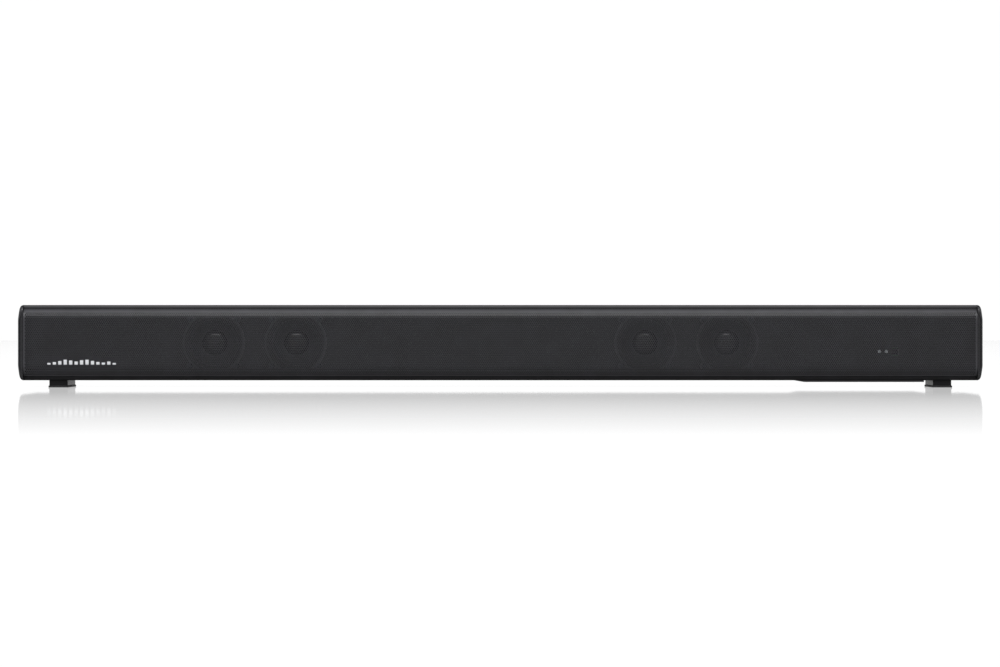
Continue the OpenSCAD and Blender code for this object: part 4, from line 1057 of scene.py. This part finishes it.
def pan_screw(box, axis, way):
    """One screw in the box of its CAD solid. Its head is at the high end if way is 1."""
    low, high = box
    centre = (low + high) / 2
    across = [k for k in range(3) if k != axis]
    head = (high[across[0]] - low[across[0]]) / 2
    tall = high[axis] - low[axis]
    top = high[axis] if way > 0 else low[axis]
    head_height = 1.4 * MM if tall > 5.5 * MM else 0.9 * MM
    steps = [(SHANK_RADIUS * 0.4, tall), (SHANK_RADIUS, tall - TIP_LENGTH), (SHANK_RADIUS, head_height),
             (head, head_height), (head, head_height * 0.55), (head * 0.92, head_height * 0.28),
             (head * 0.7, head_height * 0.06), (head * 0.45, 0), (0, 0)]
    rings = [(r, top - way * d) for r, d in steps]
    piece = turned("screw", centre, axis, rings, 20, "TRIFAN")
    reach = head * 0.52
    for k in across:
        half = Vector((RECESS_HALF_WIDTH,) * 3)
        half[k] = reach
        half[axis] = head_height * 0.6
        spot = centre.copy()
        spot[axis] = top
        cut(piece, block("recess", spot - half, spot + half))
    return piece


def screws(name, node):
    """All the screws of a CAD node as one piece. Each points along its longest side: those of the
    case go in from the back or from below, the drivers' and the baffle's from the front, and the
    boards' from above."""
    pieces = []
    for low, high in solids(node):
        size = high - low
        axis = max(range(3), key=lambda k: size[k])
        if axis == 1:
            way = -1 if node != "case_screws" else 1
        else:
            way = 1 if low.z > 12 * MM else -1
        pieces.append(pan_screw((low, high), axis, way))
    return settle(join(name, pieces), 35)


# Blackened steel: dark, with a metal's gleam where the drivers have rubbed it.
screw_steel, tree, shader, where = surface("blackened_steel", metallic=1.0)
rub = add(tree, "TexNoise", {"Vector": where}, in_2=1 / (1.2 * MM), in_3=3.0)
tint(tree, shader, rub.outputs["Fac"], "#2e2f32", "#55575b", start=0.35, end=0.75)
roughen(tree, shader, rub.outputs["Fac"], 0.5, 0.28)
for node in ("driver_screws", "baffle_screws", "case_screws"):
    place(screws(node.replace("_screws", "_fixings"), node), screw_steel, "case", "screw_steel", node)


# ---- Lights and receiver ----
# Two clear light guides and a dark infrared window look out through the grille near the right end.
# The guides are lit from the display board behind the baffle.


def light_guides():
    """Two rods with domed fronts."""
    guides = []
    for low, high in solids("status_lights"):
        centre = (low + high) / 2
        r = (high.x - low.x) / 2
        rings = [(r, high.y), (r, low.y + r)]
        for angle in (20, 40, 60, 75):
            a = math.radians(angle)
            rings.append((r * math.cos(a), low.y + r - r * math.sin(a)))
        rings.append((0, low.y))
        guides.append(turned("guide", centre, 1, rings, 24, "TRIFAN"))
    return settle(join("light_guides", guides), 50)


# Frosted acrylic, lit faintly from behind: two cool white dots.
guide_acrylic, tree, shader, where = surface("lit_acrylic", ior=1.49)
grain = add(tree, "TexNoise", {"Vector": where}, in_2=1 / (0.8 * MM))
tones = add(tree, "ValToRGB", {"Fac": grain.outputs["Fac"]},
            stops=[(0.3, linear("#d7dde2")), (0.7, linear("#f2f6f8"))])
tree.links.new(tones.outputs["Color"], shader.inputs["Base Color"])
tree.links.new(tones.outputs["Color"], shader.inputs["Emission Color"])
shader.inputs["Emission Strength"].default_value = 0.12
shader.inputs["Roughness"].default_value = 0.35
place(light_guides(), guide_acrylic, "case", "light_lens", "status_lights")
# Infrared epoxy: nearly black, with a purple cast and a polish.
receiver_epoxy = moulded("infrared_epoxy", "#0e080d", "#170d16", 0.08, 0.16, 2.0 * MM, 0.005 * MM, ior=1.55)
dress(receiver_epoxy, "infrared_receiver")


# ---- Electronics ----
# Inside the right bay: a power board with its transformer and capacitors, an amplifier board with a
# finned aluminium heat sink, and two small boards for the display and the keys. Two-core leads run
# along the base to the drivers.


BOARD = 1.6 * MM


def board(node, axis, face, parts):
    """A circuit board: green lacquer over copper tracks, half its thickness each side of a plane
    across an axis, and the colour of its parts beyond that."""
    material, tree, shader, where = surface(node + "_lacquer", ior=1.5)
    split = add(tree, "SeparateXYZ", {"Vector": where})
    on_board = add(tree, "Math", {0: split.outputs[axis]}, operation="COMPARE",
                   in_1=face, in_2=BOARD / 2 + 0.02 * MM)
    tracks = add(tree, "TexBrick", {"Vector": where}, in_1=linear("#1f5a2f"),
                 in_2=linear("#24683a"), in_3=linear("#3f8a4c"), in_4=1 / (4 * MM), in_5=0.04)
    body = add(tree, "TexNoise", {"Vector": where}, in_2=1 / (1.5 * MM))
    shell = add(tree, "ValToRGB", {"Fac": body.outputs["Fac"]},
                stops=[(0.3, linear(parts[0])), (0.7, linear(parts[1]))])
    mixed = add(tree, "Mix", {0: on_board.outputs[0], 6: shell.outputs["Color"],
                              7: tracks.outputs["Color"]}, data_type="RGBA")
    tree.links.new(mixed.outputs[2], shader.inputs["Base Color"])
    rough = add(tree, "MapRange", {"Value": on_board.outputs[0]}, in_3=0.5, in_4=0.28)
    tree.links.new(rough.outputs["Result"], shader.inputs["Roughness"])
    dress(material, node)


# Pale parts on the power board, and black or grey ones on the other three.
board("power_board", "Z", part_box("power_board")[0].z + BOARD / 2, ("#cfcabc", "#dedacd"))
board("amplifier_board", "Z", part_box("amplifier_board")[0].z + BOARD / 2, ("#1a1a1c", "#242427"))
board("display_board", "Y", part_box("display_board")[1].y - BOARD / 2, ("#131315", "#1b1b1d"))
board("control_board", "X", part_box("control_board")[0].x + BOARD / 2, ("#2e2e32", "#3c3c41"))

# Lacquered iron plates round a wound copper coil: the coil shows as the warm band between them.
low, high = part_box("transformer")
transformer_iron, tree, shader, where = surface("iron_and_copper")
split = add(tree, "SeparateXYZ", {"Vector": where})
windings = add(tree, "Math", {0: split.outputs["Z"]}, operation="COMPARE",
               in_1=(low.z + high.z) / 2, in_2=8.9 * MM)
turns = add(tree, "TexWave", {"Vector": where}, bands_direction="Z", in_1=1 / (4 * MM))
copper = add(tree, "ValToRGB", {"Fac": turns.outputs["Fac"]},
             stops=[(0.0, linear("#8a5a22")), (0.8, linear("#d29a4a"))])
plates = add(tree, "TexWave", {"Vector": where}, bands_direction="Y", in_1=1 / (6 * MM))
iron = add(tree, "ValToRGB", {"Fac": plates.outputs["Fac"]},
           stops=[(0.0, linear("#3c3d40")), (0.8, linear("#56585c"))])
mixed = add(tree, "Mix", {0: windings.outputs[0], 6: iron.outputs["Color"],
                          7: copper.outputs["Color"]}, data_type="RGBA")
tree.links.new(mixed.outputs[2], shader.inputs["Base Color"])
emboss(tree, shader, turns.outputs["Fac"], 0.5, 0.05 * MM)
shader.inputs["Roughness"].default_value = 0.45
dress(transformer_iron, "transformer")

# PVC sleeve, shrunk round each capacitor: dark blue and a little glossy.
capacitor_sleeve = moulded("blue_sleeve", "#1d2a55", "#27366b", 0.22, 0.32, 1.0 * MM, 0.01 * MM)
dress(capacitor_sleeve, "capacitors")

# Extruded aluminium, clear anodised: pale grey with fine lines along Y.
sink, tree, shader, where = surface("anodised_aluminium", metallic=1.0)
stretch = add(tree, "Mapping", {"Vector": where}, in_3=(1 / (0.4 * MM), 1 / (20 * MM), 1 / (0.4 * MM)))
lines = add(tree, "TexNoise", {"Vector": stretch.outputs[0]}, in_2=1.0, in_3=2.0)
tint(tree, shader, lines.outputs["Fac"], "#9a9da1", "#b9bcc0")
roughen(tree, shader, lines.outputs["Fac"], 0.32, 0.5)
dress(sink, "heat_sink")

# Soft PVC over copper strands: dark red, with a waxy surface.
lead_sleeve = moulded("red_pvc", "#6f1f1c", "#842925", 0.35, 0.5, 1.5 * MM, 0.02 * MM)
dress(lead_sleeve, "speaker_leads")


# ---- Floor, lights and camera ----
# A pale floor, polished enough to mirror the bar, one narrow strip light high in front of it, and a
# pale room that is brightest above its front. The camera looks level at the front of the bar from
# 2.2 m away, a little above its middle.

STRIP_LENGTH = 1.6
STRIP_WIDTH = 0.12
STRIP_POWER = 13
ROOM_LIGHT = 1.55
CAMERA_SPOT = (-0.0003, -2.236, 0.0527)
CAMERA_LENS = 81.35

only()
bpy.ops.mesh.primitive_plane_add(size=30, location=(0, 0, 0))
floor = bpy.context.object
floor.name = "floor"
# The floor glows evenly, so that no shadow greys it. Its polish fades out towards the camera.
material = bpy.data.materials.new("lit_polished_floor")
material.use_nodes = True
tree = material.node_tree
tree.nodes.clear()
reach = add(tree, "SeparateXYZ", {"Vector": add(tree, "TexCoord").outputs["Object"]})
near = add(tree, "MapRange", {"Value": reach.outputs["Y"]}, in_1=-1.12, in_2=-0.2)
eased = add(tree, "Math", {0: near.outputs["Result"]}, operation="POWER", in_1=0.7)
graze = add(tree, "Fresnel", in_0=1.45)
most = add(tree, "Math", {0: eased.outputs[0]}, operation="MULTIPLY", in_1=0.63)
polish = add(tree, "Math", {0: most.outputs[0], 1: graze.outputs[0]}, operation="MULTIPLY")
matt = add(tree, "BsdfDiffuse", in_0=(0.1, 0.1, 0.1, 1))
lit = add(tree, "Emission", in_0=(0.95, 0.95, 0.95, 1))
white = add(tree, "AddShader", {0: matt.outputs[0], 1: lit.outputs[0]})
gloss = add(tree, "BsdfAnisotropic", in_0=(1, 1, 1, 1), in_1=0.05)
both = add(tree, "MixShader", {0: polish.outputs[0], 1: white.outputs[0], 2: gloss.outputs[0]})
add(tree, "OutputMaterial", {"Surface": both.outputs[0]})
floor.data.materials.append(material)
floor.visible_diffuse = False
floor.visible_glossy = False

only()
bpy.ops.object.light_add(type="AREA", location=(0, -0.87, 1.066), rotation=(math.radians(40), 0, 0))
strip = bpy.context.object
strip.name = "strip_light"
strip.data.shape = "RECTANGLE"
strip.data.size = STRIP_LENGTH
strip.data.size_y = STRIP_WIDTH
strip.data.energy = STRIP_POWER

# The room in front of the bar is dim at the bar's own height and bright above. Behind the bar
# only a band at its height is bright. The camera itself sees plain white.
world = bpy.data.worlds.new("studio")
bpy.context.scene.world = world
world.use_nodes = True
tree = world.node_tree
tree.nodes.clear()
way = add(tree, "SeparateXYZ", {"Vector": add(tree, "TexCoord").outputs["Generated"]})
height = add(tree, "MapRange", {"Value": way.outputs["Z"]}, in_1=-1.0, in_2=1.0)
room = add(tree, "ValToRGB", {"Fac": height.outputs["Result"]},
           stops=[(0.0, (0.4, 0.4, 0.4, 1)), (0.4, (0.4, 0.4, 0.4, 1)),
                  (0.47, (0.2, 0.2, 0.2, 1)), (0.53, (0.2, 0.2, 0.2, 1)),
                  (0.62, (0.85, 0.85, 0.87, 1)), (1.0, (0.85, 0.85, 0.87, 1))])
back = add(tree, "ValToRGB", {"Fac": height.outputs["Result"]},
           stops=[(0.0, (0.05, 0.05, 0.05, 1)), (0.35, (0.06, 0.06, 0.06, 1)),
                  (0.44, (0.65, 0.65, 0.65, 1)), (0.56, (0.65, 0.65, 0.65, 1)),
                  (0.68, (0.04, 0.04, 0.04, 1)), (1.0, (0.04, 0.04, 0.04, 1))])
behind = add(tree, "MapRange", {"Value": way.outputs["Y"]}, interpolation_type="SMOOTHSTEP",
             in_1=-0.1, in_2=0.3)
lit = add(tree, "Mix", {0: behind.outputs["Result"], 6: room.outputs["Color"],
                        7: back.outputs["Color"]}, data_type="RGBA")
seen = add(tree, "Mix", {0: add(tree, "LightPath").outputs["Is Camera Ray"], 6: lit.outputs[2]},
           data_type="RGBA", in_7=(0.65, 0.65, 0.65, 1))
sky = add(tree, "Background", {"Color": seen.outputs[2]}, in_1=ROOM_LIGHT)
add(tree, "OutputWorld", {"Surface": sky.outputs[0]})

bpy.context.scene.view_settings.view_transform = "Standard"

only()
bpy.ops.object.camera_add(location=CAMERA_SPOT, rotation=(math.pi / 2, 0, 0))
camera = bpy.context.object
camera.data.lens = CAMERA_LENS
camera.data.sensor_width = 36
bpy.context.scene.camera = camera
